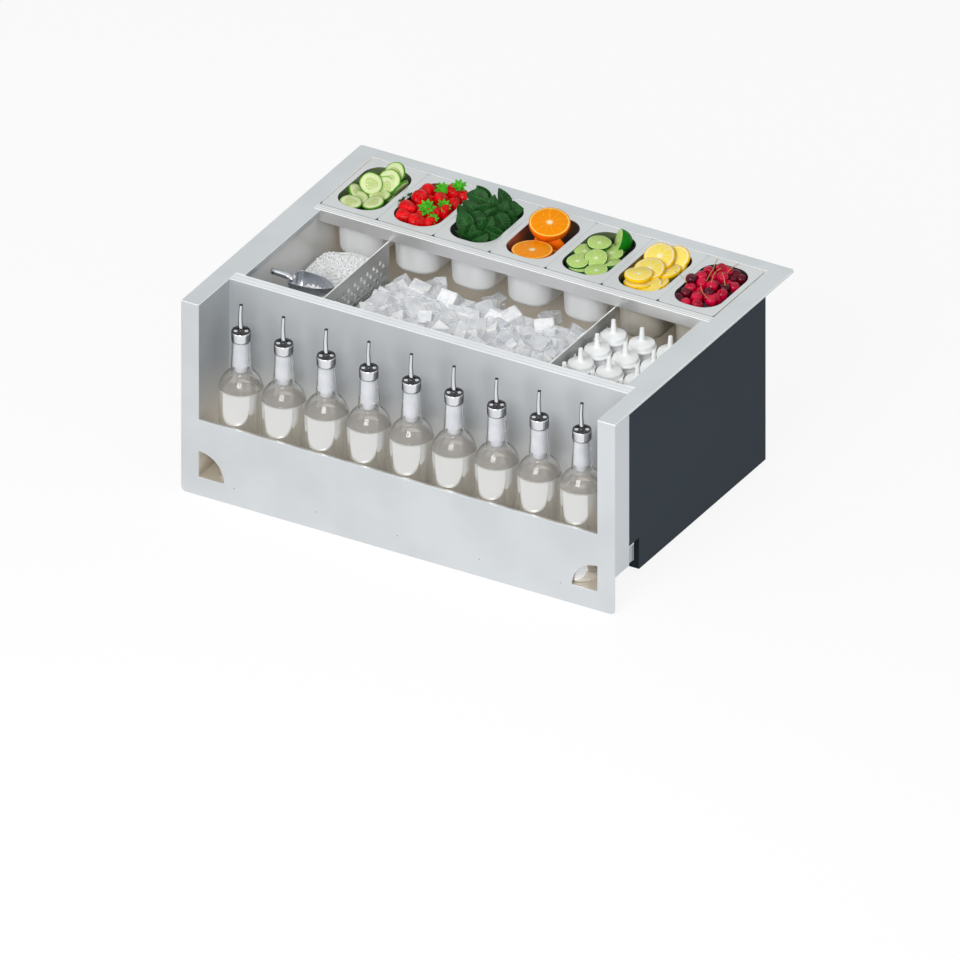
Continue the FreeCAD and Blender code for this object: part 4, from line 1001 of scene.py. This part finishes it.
def makeBracketPlates():
    casing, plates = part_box("outer_casing"), []
    near, low, high = casing[0].y + 0.4 * mm, casing[0].z + trimSet["plateLow"], casing[0].z + trimSet["plateHigh"]
    far = near + trimSet["plate"]
    for side in (-1, 1):
        wide = (casing[1].x - 2 * mm) * side
        plates.append(bar(rectangle(near, low, far, high), wide - 0.7 * mm, wide + 0.7 * mm, 0))
        plates.append(bar(rectangle(far - 1.6 * mm, low, far, high), wide - 0.7 * mm, wide + 1.9 * mm, 0))
    piece("bracketPlates", joinShapes(plates), bracketSteel, autoAngle=30)


def makePins():
    # a short dark round pin at the near end of each gap, painted shade where the gap's notch lies in shadow
    shadePins = []
    for here, there in panGaps():
        shadePin = inMm([(0, -1.6), (1.9, -1.6), (1.9, -0.5), (1.3, -0.1), (0, 0)], here.z)
        shadePins.append(lathe(shadePin, 16, ((here.x + there.x) / 2, there.y + 1.4 * mm, 0)))
    piece("panPins", joinShapes(shadePins), sealRubber, autoAngle=40)


makeHem()
makeSeams()
makeDividerEdges()
makeBracketPlates()
makePins()
print("trim made")


# garnish: places are millimetres right and up of the middle of the pan's mouth as the station is seen from its
# front right corner, and over the mouth; tilt and azimuth turn a piece's own axis, and the last number is its size

panSet = {"deep": -11 * mm, "clear": np.array([36, 62]) * mm}


def panMouth(number):
    lo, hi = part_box("garnish_pan_%d" % number)
    return np.array([(lo.x + hi.x) / 2, (lo.y + hi.y) / 2, hi.z])


def seenAt(pan, right, up, over):
    # the place at a height over the mouth that shows right and up of the mouth's middle along a 30 degree view
    c, s = math.cos(math.radians(30)), math.sin(math.radians(30))
    toward = (over - up * c) / s
    x, y = right * c - up * s * s + toward * s * c, right * s + up * s * c - toward * c * c
    return panMouth(pan) + mm * np.array([x, y, over])


def leaning(tilt, azimuth, spin=0):
    # an upright axis tipped by tilt towards azimuth, after a spin about itself
    return turn("z", azimuth) @ turn("y", tilt) @ turn("z", spin)


def withinPan(pan, place, reach):
    # a place deeper than the rim is drawn in until a piece of that reach clears the walls
    away = place - panMouth(pan)
    limit = panSet["clear"] - reach
    if away[2] < panSet["deep"]:
        away[:2] = np.clip(away[:2], -limit, limit)
    return panMouth(pan) + away


def laidOut(shape, pan, rows, random):
    # copies of one shape at listed places in a pan
    copies = []
    reach = np.abs(shape["points"]).max()
    for right, up, over, tilt, azimuth, size in rows:
        place = withinPan(pan, seenAt(pan, right, up, over), reach * size)
        copies.append(moved(shape, place, leaning(tilt, azimuth, random.uniform(0, 360)) * size))
    return joinShapes(copies)


def wheel(radius, thickness, warp=0.03, segments=40):
    # a round slice with a soft rim, its outline wobbling by a share of its radius; local place in radii
    half = thickness / 2
    rim = [(0, half), (radius - 0.5 * half, half), (radius - 0.12 * half, 0.7 * half), (radius, 0),
           (radius - 0.12 * half, -0.7 * half), (radius - 0.5 * half, -half), (0, -half)]
    shape = lathe(rim, segments)
    points = shape["points"]
    shape["local"] = points / radius
    angle = np.arctan2(points[:, 1], points[:, 0])
    swell = 1 + warp * np.sin(2 * angle + 0.6) + 0.4 * warp * np.sin(5 * angle)
    bend = 0.06 * radius * (points[:, 0] / radius) ** 2
    shape["points"] = np.stack([points[:, 0] * swell, points[:, 1] * swell, points[:, 2] + bend], 1)
    return shape


def halfFruit(radius, squat=0.94, segments=48):
    # a flat cut face over a round dome; local place in radii, below zero on the peel
    angle = np.radians(np.linspace(0, 90, 12))
    dome = np.stack([radius * np.cos(angle), -radius * squat * np.sin(angle) - 0.02 * radius], 1)
    dome[-1, 0] = 0
    face = np.array([(0, 0), (0.5, 0), (0.975, 0), (0.995, -0.008)]) * radius
    shape = lathe(np.concatenate([face, dome]), segments)
    shape["local"] = shape["points"] / radius
    return shape


def citrusGroup():
    # wedges of pulp between thin skins round a pale core, inside a ring of pith and peel
    number = "NodeSocketFloat"
    takes = [("Place", "NodeSocketVector", None), ("Wedges", number, 10.0), ("Pulp edge", number, 0.88),
             ("Peel edge", number, 0.95)]
    gives = [(name, number) for name in ("Skin", "Core", "Ring", "Peel", "Grain")]
    tree, given, out = newGroup("citrusWheel", takes, gives)
    given = given.outputs
    parts = split(given["Place"])
    flat = flatPlace(parts["X"], parts["Y"])
    radius = lengthOf(flat)
    turns = maths("DIVIDE", maths("ARCTAN2", parts["Y"], parts["X"]), 2 * math.pi)
    around = times(maths("ADD", turns, times(noise(flat, 3.0, 1.0), 0.08)), given["Wedges"])
    across = maths("ABSOLUTE", maths("SUBTRACT", maths("FRACT", around), 0.5))
    gap = times(maths("SUBTRACT", 0.5, across), radius)
    rays = flatPlace(times(radius, 2.4), times(around, 6.0))
    fill(out, Skin=inverse(band(gap, 0.006, 0.034)),
         Core=inverse(band(maths("ADD", radius, times(across, 0.2)), 0.14, 0.23)),
         Ring=band(maths("SUBTRACT", radius, given["Pulp edge"]), -0.03, 0.015),
         Peel=band(maths("SUBTRACT", radius, given["Peel edge"]), -0.012, 0.012), Grain=noise(rays, 2.2, 3.0))
    return tree


citrusWheel = citrusGroup()


def citrusMaterial(name, colours, wedges, pulpEdge, peelEdge, cut=0.3, skinShare=0.6):
    # the wheel pattern on the cut face, pitted peel on whatever lies deeper than the cut's share of the radius
    material, tree, shader = newMaterial(name)
    colours = {part: srgb(*colour) for part, colour in colours.items()}
    place = localPlace(tree)
    fruit = useGroup(tree, citrusWheel, Place=place, Wedges=wedges, Pulp_edge=pulpEdge, Peel_edge=peelEdge)
    flesh = blend(band(fruit["Grain"], 0.3, 0.7), colours["pulp"], colours["pulpLight"])
    veiled = blend(times(fruit["Skin"], skinShare), flesh, colours["skin"])
    face = blend(fruit["Core"], blend(fruit["Ring"], veiled, colours["pith"]), colours["core"])
    pores = noise(place, 26.0, 2.0)
    peel = maths("MAXIMUM", fruit["Peel"], band(times(split(place)["Z"], -1.0), cut, cut + 0.016))
    relief = maths("ADD", fruit["Grain"], times(pores, 0.4))
    fill(shader, Base_Color=blend(peel, face, blend(pores, colours["peelDark"], colours["peel"])),
         Roughness=maths("MULTIPLY_ADD", peel, 0.12, 0.28), Normal=bump(relief, 0.3, 0.001), Specular_IOR_Level=0.06,
         Subsurface_Weight=0.12, Subsurface_Radius=(0.006, 0.004, 0.002))
    return material


cucumberSet = {
    "radius": 19.5 * mm, "thickness": 4.4 * mm, "seed": 3,
    "slices": [
        (-6, 8, 2, 52, -60, 1.0), (25, 13, 3, 55, -88, 1.03), (34, 25, 5, 58, -98, 1.03), (18, 2, -4, 44, -66, 1.0),
        (-40, -24, -8, 8, -60, 0.98), (-40, -15, -12, 12, -60, 0.98), (-28, -8, -9, 38, 10, 0.98),
        (-2, -25, -7, 14, -150, 1.0), (8, -13, -11, 10, -120, 0.98), (42, -1, -8, 62, 168, 0.98),
        (30, -6, -14, 30, 170, 0.98), (20, 18, -22, 10, 80, 1.0), (-14, -14, -20, 8, 200, 1.0),
        (0, 2, -22, 8, 300, 1.0), (34, 10, -22, 14, 210, 1.0), (16, -14, -20, 8, 20, 1.0),
        (-30, -22, -20, 6, 90, 1.0), (6, 22, -24, 8, 40, 1.0)]}


def cucumberMaterial():
    # pale flesh, a wetter seed core in three lobes with pale seeds, thin dark rind
    material, tree, shader = newMaterial("cucumberSlice")
    place = localPlace(tree)
    parts = split(place)
    flat = flatPlace(parts["X"], parts["Y"])
    radius = lengthOf(flat)
    lobes = times(maths("COSINE", times(maths("ARCTAN2", parts["Y"], parts["X"]), 3.0)), 0.06)
    core = inverse(band(maths("ADD", radius, lobes), 0.48, 0.6))
    seeds = times(inverse(band(cells(flat, 7.0), 0.2, 0.34)), core)
    flesh = blend(band(radius, 0.8, 0.94), srgb(222, 234, 182), srgb(164, 206, 94))
    heart = blend(seeds, blend(core, flesh, srgb(194, 214, 136)), srgb(240, 242, 210))
    streaks = noise(place, 9.0, 3.0)
    rind = blend(streaks, srgb(40, 100, 14), srgb(92, 164, 34))
    fill(shader, Base_Color=blend(band(radius, 0.93, 0.965), heart, rind), Roughness=0.32, Specular_IOR_Level=0.12,
         Normal=bump(maths("ADD", seeds, streaks), 0.25, 0.0008), Subsurface_Weight=0.2,
         Subsurface_Radius=(0.004, 0.006, 0.002))
    return material


def makeCucumber():
    random = np.random.default_rng(cucumberSet["seed"])
    slices = laidOut(wheel(cucumberSet["radius"], cucumberSet["thickness"]), 1, cucumberSet["slices"], random)
    piece("cucumberRounds", slices, cucumberMaterial(), "pan_1", "cucumber_slices", autoAngle=50)


orangeSet = {
    "radius": 35 * mm, "seed": 5,
    "halves": [
        (11, 25, 13, 15, -60, 1.0), (-18, -20.5, -5, -3, -60, 1.0), (41, 6, -18, 62, 60, 0.8),
        (12, -10, -22, 20, 40, 0.8)]}
limeSet = {
    "radius": 20 * mm, "thickness": 4.6 * mm, "seed": 9,
    "slices": [
        (-36, -14.5, -6, 8, -60, 0.98), (-5, -9, -4, 22, -60, 0.98), (0.5, 16, 0, 6, -60, 1.04),
        (-24, 2, -7, 10, -30, 0.98), (20, -1, -9, 8, -60, 1.05), (19, -17, -10, 10, 150, 0.98),
        (-5, -30, -10, 6, -100, 1.0), (-37, -29, -12, 6, 100, 0.98), (30, 8, -14, 6, 60, 1.0),
        (-14, 4, -18, 5, 0, 1.0), (4, -14, -18, 6, 90, 1.0), (-24, -16, -18, 6, 30, 1.0), (16, 12, -18, 6, 60, 1.0),
        (-4, 18, -18, 6, 10, 1.0), (14, -26, -18, 6, 10, 0.95)],
    "half": [
        (32, 22, 3, 70, -142, 1.0)]}
lemonSet = {
    "radius": 26.5 * mm, "thickness": 6.4 * mm, "seed": 13,
    "slices": [
        (7, 21, 3, 24, -62, 1.02), (-9.5, 0, -2, 12, -60, 1.0), (-28, -9, -1, 0, -60, 0.92),
        (33, 17, -5, 34, -90, 0.98), (27, -6, -11, 8, 180, 0.95), (-16, -31, -12, 6, -90, 0.95),
        (-48, -24, -12, 8, 100, 0.9), (7, -26, -14, 8, 180, 0.9), (40, 4, -14, 10, 200, 0.9),
        (-4, 8, -20, 6, 0, 0.95), (8, -10, -22, 6, 90, 0.95), (14, 18, -22, 6, 60, 0.95), (-22, -14, -22, 6, 30, 0.95)]}
orangeColours = {"pulp": (255, 138, 0), "pulpLight": (255, 160, 6), "skin": (255, 190, 74), "pith": (255, 218, 104),
                 "core": (255, 236, 196), "peel": (250, 124, 8), "peelDark": (230, 92, 2)}
limeColours = {"pulp": (162, 202, 92), "pulpLight": (198, 224, 136), "skin": (226, 240, 186), "pith": (210, 232, 160),
               "core": (232, 238, 206), "peel": (58, 124, 42), "peelDark": (30, 88, 28)}
limeHalfColours = {**limeColours, "peel": (26, 136, 22), "peelDark": (8, 104, 12)}
lemonColours = {"pulp": (255, 222, 78), "pulpLight": (255, 236, 126), "skin": (255, 246, 184),
                "pith": (255, 238, 190), "core": (255, 246, 220), "peel": (255, 214, 30), "peelDark": (246, 194, 10)}


def makeCitrus():
    random = np.random.default_rng(orangeSet["seed"])
    piece("orangeDomes", laidOut(halfFruit(orangeSet["radius"]), 4, orangeSet["halves"], random),
          citrusMaterial("orangeHalf", orangeColours, 11.0, 0.90, 0.955, 0.004, 0.75), "pan_4",
          "orange_halves", autoAngle=40)
    random = np.random.default_rng(limeSet["seed"])
    piece("limeRounds", laidOut(wheel(limeSet["radius"], limeSet["thickness"]), 5, limeSet["slices"], random),
          citrusMaterial("limeSlice", limeColours, 10.0, 0.88, 0.94, skinShare=0.9), "pan_5",
          "lime_slices", autoAngle=50)
    piece("limeDome", laidOut(halfFruit(limeSet["radius"], 1.2), 5, limeSet["half"], random),
          citrusMaterial("limeHalf", limeHalfColours, 10.0, 0.88, 0.95, 0.004), "pan_5", autoAngle=40)
    random = np.random.default_rng(lemonSet["seed"])
    piece("lemonRounds", laidOut(wheel(lemonSet["radius"], lemonSet["thickness"]), 6, lemonSet["slices"], random),
          citrusMaterial("lemonSlice", lemonColours, 9.0, 0.82, 0.91, skinShare=0.9), "pan_6",
          "lemon_slices", autoAngle=50)


makeCucumber()
makeCitrus()
print("cut fruit laid out")


strawberrySet = {
    "seed": 17,
    "berries": [
        (-39, -5, 0, 105, 165, 1.0), (-17, 12, 3, 70, -80, 1.06), (-5, 21, -1, 80, 100, 1.0),
        (16, 8, 0, 25, 40, 0.95), (36, 18, -2, 35, 20, 1.12), (52, 12, -7, 80, 40, 0.95),
        (-45, -20, -5, 95, 180, 1.0), (-24, -29, -6, 88, 200, 1.1), (-2, -31, -9, 88, -30, 0.95),
        (-14, -16, -6, 60, 200, 1.0), (3, -14, -4, 60, -40, 1.0), (22, -12, -6, 80, 0, 1.0),
        (38, -1, -8, 70, 30, 1.0), (-2, 2, -10, 60, 100, 1.0), (30, 4, -14, 60, 60, 1.0), (10, -22, -14, 80, 10, 1.0),
        (-26, -10, -14, 40, 0, 1.0), (12, 16, -16, 40, 90, 1.0), (24, 20, -14, 60, 120, 1.0),
        (-10, -20, -22, 40, 0, 1.0)],
    "crowns": [
        (-6, -7, 6, 38, -70, 1.45), (21, -4, 3, 40, -40, 1.25), (47, 28, 8.4, 20, -60, 1.3),
        (19, 24, 7, 34, -60, 1.25), (4, -24, -1, 40, -60, 0.9)],
    "darkCrowns": [
        (-46, 6, 5, 50, 165, 0.85), (-34, 15, 4, 60, 150, 0.6)]}
leafThickness = 0.5 * mm


def strawberryShape():
    # a blunt cone with round shoulders; local place in millimetres
    outline = smoothLine([(0, -19), (4.6, -17), (10.2, -8.5), (13.4, 1.5), (12.4, 8.5), (7.8, 12), (3.2, 11.6),
                          (0, 11)], 26)
    outline[0, 0] = outline[-1, 0] = 0
    shape = lathe(np.clip(outline, [0, -99], None) * mm, 32)
    shape["local"] = shape["points"] / mm
    return shape


def blade(length, width, rise, curl, across=5, along=9, teeth=0):
    # a leaf: half width follows a skewed sine, the midrib rises and curls over, both halves fold up from it
    u = np.linspace(0, 1, along)[:, None]
    v = np.linspace(-1, 1, across)[None]
    half = width / 2 * np.sin(np.pi * u ** 0.72) ** 0.85 * (1 + 0.06 * np.sin(2 * np.pi * teeth * u))
    x = length * u * np.cos(curl * u)
    z = length * (rise * u - curl * 0.5 * u ** 2) + 0.35 * half * np.abs(v) ** 1.4
    grid = np.stack([x + 0 * v, half * v, z + 0 * v], 2)
    local = np.stack([u + 0 * v, v + 0 * u, 0 * u * v], 2)
    return gridShape(grid, False, local=local)


def crownShape():
    # nine narrow sepals round a short stalk
    sepals = [moved(blade(12 * mm, 5.4 * mm, 0.55, 0.35), rotation=turn("z", 40 * k) @ turn("y", 14 * (k % 2) - 10))
              for k in range(9)]
    return joinShapes(sepals)


def strawberryMaterial():
    # clouded red skin with a pale seed in each of its pits
    material, tree, shader = newMaterial("strawberrySkin")
    place = localPlace(tree)
    pits = cells(place, 0.34)
    skin = blend(band(noise(place, 0.09, 2.0), 0.3, 0.7), srgb(190, 0, 8), srgb(240, 6, 20))
    fill(shader, Base_Color=blend(inverse(band(pits, 0.14, 0.26)), skin, srgb(232, 84, 48)), Roughness=0.2,
         Normal=bump(band(pits, 0.1, 0.45), 0.5, 0.0012), Specular_IOR_Level=0.14)
    return material


def leafMaterial(name, dark, light, vein, side):
    # side veins run forward from a pale midrib
    material, tree, shader = newMaterial(name)
    parts = split(localPlace(tree))
    out = maths("ABSOLUTE", parts["Y"])
    run = maths("SUBTRACT", times(parts["X"], side), times(out, 0.16 * side))
    sideVein = inverse(band(maths("ABSOLUTE", maths("SUBTRACT", maths("FRACT", run), 0.5)), 0.04, 0.16))
    veins = maths("MAXIMUM", times(sideVein, 0.55), inverse(band(out, 0.02, 0.09)))
    cloud = noise(objectPlace(tree), 110.0, 3.0)
    fill(shader, Base_Color=blend(veins, blend(band(cloud, 0.3, 0.7), dark, light), vein), Roughness=0.42,
         Normal=bump(maths("SUBTRACT", cloud, veins), 0.5, 0.0008), Specular_IOR_Level=0.12)
    return material


def makeStrawberries():
    random = np.random.default_rng(strawberrySet["seed"])
    piece("strawberryBerries", laidOut(strawberryShape(), 2, strawberrySet["berries"], random), strawberryMaterial(),
          "pan_2", "strawberries")
    fresh = leafMaterial("sepalGreen", srgb(44, 140, 24), srgb(84, 188, 36), srgb(104, 204, 56), 3.0)
    dark = leafMaterial("sepalDark", srgb(30, 70, 36), srgb(52, 100, 50), srgb(70, 120, 66), 3.0)
    for name, rows, green in (("strawberryCrowns", "crowns", fresh), ("strawberryDarkCrowns", "darkCrowns", dark)):
        crowns = piece(name, laidOut(crownShape(), 2, strawberrySet[rows], random), green, "pan_2")
        thicken(crowns, "leafThickness", leafThickness)


# mint rows: right, up, over, the way the tip points as seen, pitch, roll, size
mintSet = {
    "seed": 21, "length": 46 * mm, "width": 31 * mm, "count": 34,
    "leaves": [
        (-5, 14, 5.5, 25, -10, 5, 1.05), (-36, 0, 2, 118, 10, -12, 1.0), (0, -9, 5, 62, -15, 10, 0.95),
        (-15, 38, 6, 160, 15, 20, 1.0), (-5, 44, 6, 128, 5, -20, 0.9), (25, 33, 3, 104, 0, 42, 1.05),
        (42, 16, 0, 12, 10, -20, 0.95), (-49, -22, -12, 150, 10, 50, 0.75), (-14, -28, -6, 205, 20, -15, 0.9),
        (13, -21, -4, -24, 15, 20, 0.95), (26, -3, -3, -62, 10, -10, 0.9), (-43, 14, 2, 112, 5, 30, 0.7),
        (-27, 22, 2, 142, 10, 20, 0.85), (36, 5, -2, -32, 15, 10, 0.95), (-31, -20, -5, 245, 15, -20, 0.9),
        (11, 24, 0.5, 84, 0, -30, 0.95), (46, 18, -6, 96, 5, 20, 0.75), (14, 8, 2, 40, 0, 15, 0.9),
        (-18, 2, 0, 190, 10, 10, 0.9), (28, 16, 2, 70, 0, -15, 0.9)]}


def makeMint():
    # listed leaves on top, seen face on, over a random bed of leaves
    random = np.random.default_rng(mintSet["seed"])
    leaf = blade(mintSet["length"], mintSet["width"], 0.2, 0.4, 9, 21, 9)
    leaf["points"] = leaf["points"] - [mintSet["length"] * 0.45, 0, 0]
    outward = turn("z", -60) @ turn("y", 60) @ turn("z", 90)
    leaves = []
    for right, up, over, tip, pitch, roll, size in mintSet["leaves"]:
        spin = outward @ turn("z", tip) @ turn("y", pitch) @ turn("x", roll)
        leaves.append(moved(leaf, withinPan(3, seenAt(3, right, up, over), 22 * mm * size), spin * size))
    for number in range(mintSet["count"]):
        away = [random.uniform(-15, 15), random.uniform(-40, 40), random.uniform(-28, -8)]
        spin = turn("z", random.uniform(0, 360)) @ turn("y", random.uniform(-30, 10))
        spin = spin @ turn("x", random.uniform(-30, 30))
        leaves.append(moved(leaf, panMouth(3) + np.array(away) * mm, spin * random.uniform(0.75, 0.95)))
    green = leafMaterial("mintGreen", srgb(20, 60, 22), srgb(38, 90, 38), srgb(58, 110, 54), 8.0)
    sprigs = piece("mintSprigs", joinShapes(leaves), green, "pan_3", "mint_leaves")
    thicken(sprigs, "leafThickness", leafThickness)


cherrySet = {
    "radius": 10.6 * mm, "seed": 25, "stem": 0.6 * mm,
    "dark": [
        (-33, 11, 4), (-42, -12, -6), (-4, -12, -6), (22, -5, -6), (41, 18, -6), (50, 10, -10), (-55, -22, -9),
        (35, 11, -8), (46, 16, -14), (10, -16, -16), (-14, -6, -14), (26, 6, -16), (-30, -22, -16), (6, 10, -16)],
    "bright": [
        (17, 28, 4), (-16, 15, 4), (-4, 23, 4), (18, 13, 2), (-16, 4, 0), (1, -1, 0), (-35, -4, -2), (-24, -19, -5),
        (18, -15, -7), (38, -3, -8), (0, -25, -9), (-24, -32, -10), (-43, -29, -10), (9, -22, -10), (28, 22, -1),
        (5, 14, -4), (30, 0, -10), (-8, -20, -12), (-20, -12, -10), (14, 4, -8)],
    "stems": [
        [(-8, 8, 12), (-3, 18, 15), (3, 28, 18), (6, 36, 20), (10, 44, 22)], [(0, 5, 10), (3, 16, 13), (8, 24, 15),
        (16, 29, 16)], [(18, 22, 13), (21, 12, 12), (23, 0, 4)], [(-18, 0, 9), (-15, -10, 7), (-9, -18, 4),
        (-4, -22, -2)], [(28, 24, 9), (36, 31, 13), (46, 37, 16)], [(-41, 5, 10), (-48, 14, 15), (-60, 24, 20)]]}


def cherryMaterial(name, dark, light):
    # clouded dark skin with a tight gloss
    material, tree, shader = newMaterial(name)
    cloud = noise(objectPlace(tree), 70.0, 3.0)
    fill(shader, Base_Color=blend(band(cloud, 0.3, 0.7), dark, light), Specular_IOR_Level=0.2,
         Roughness=maths("MULTIPLY_ADD", cloud, 0.12, 0.06),
         Normal=bump(noise(objectPlace(tree), 900.0, 2.0), 0.06, 0.0004))
    return material


def cherryShape(radius):
    # a ball slightly flattened, drawn in at the stalk
    angle = np.radians(np.linspace(-90, 90, 17))
    r, z = radius * np.cos(angle), radius * 0.95 * np.sin(angle)
    z = z - 0.28 * radius * np.exp(-(r / (0.33 * radius)) ** 2) * (np.sin(angle) > 0)
    r[0] = r[-1] = 0
    return lathe(np.stack([r, z], 1), 24)


def makeCherries():
    random = np.random.default_rng(cherrySet["seed"])
    ball = cherryShape(cherrySet["radius"])

    def heap(rows):
        full = [(*row, random.uniform(0, 70), random.uniform(0, 360), random.uniform(0.94, 1.04)) for row in rows]
        return laidOut(ball, 7, full, random)

    bright = cherryMaterial("cherryBright", srgb(164, 0, 38), srgb(212, 8, 62))
    dark = cherryMaterial("cherryDark", srgb(64, 0, 18), srgb(104, 2, 30))
    piece("cherriesBright", heap(cherrySet["bright"]), bright, "pan_7", "cherries")
    piece("cherriesDark", heap(cherrySet["dark"]), dark, "pan_7")
    stems = []
    for points in cherrySet["stems"]:
        path = smoothLine([seenAt(7, *point) for point in points], 16)
        width = cherrySet["stem"] * (1 + 0.7 * np.exp(-((1 - np.linspace(0, 1, 16)) / 0.08) ** 2))
        stems.append(tube(path, width, 8))
    piece("cherryStems", joinShapes(stems),
          plainMaterial("cherryStem", srgb(160, 130, 64), srgb(196, 170, 96), 0.5, 200.0), "pan_7")


makeStrawberries()
makeMint()
makeCherries()
print("garnish laid out")
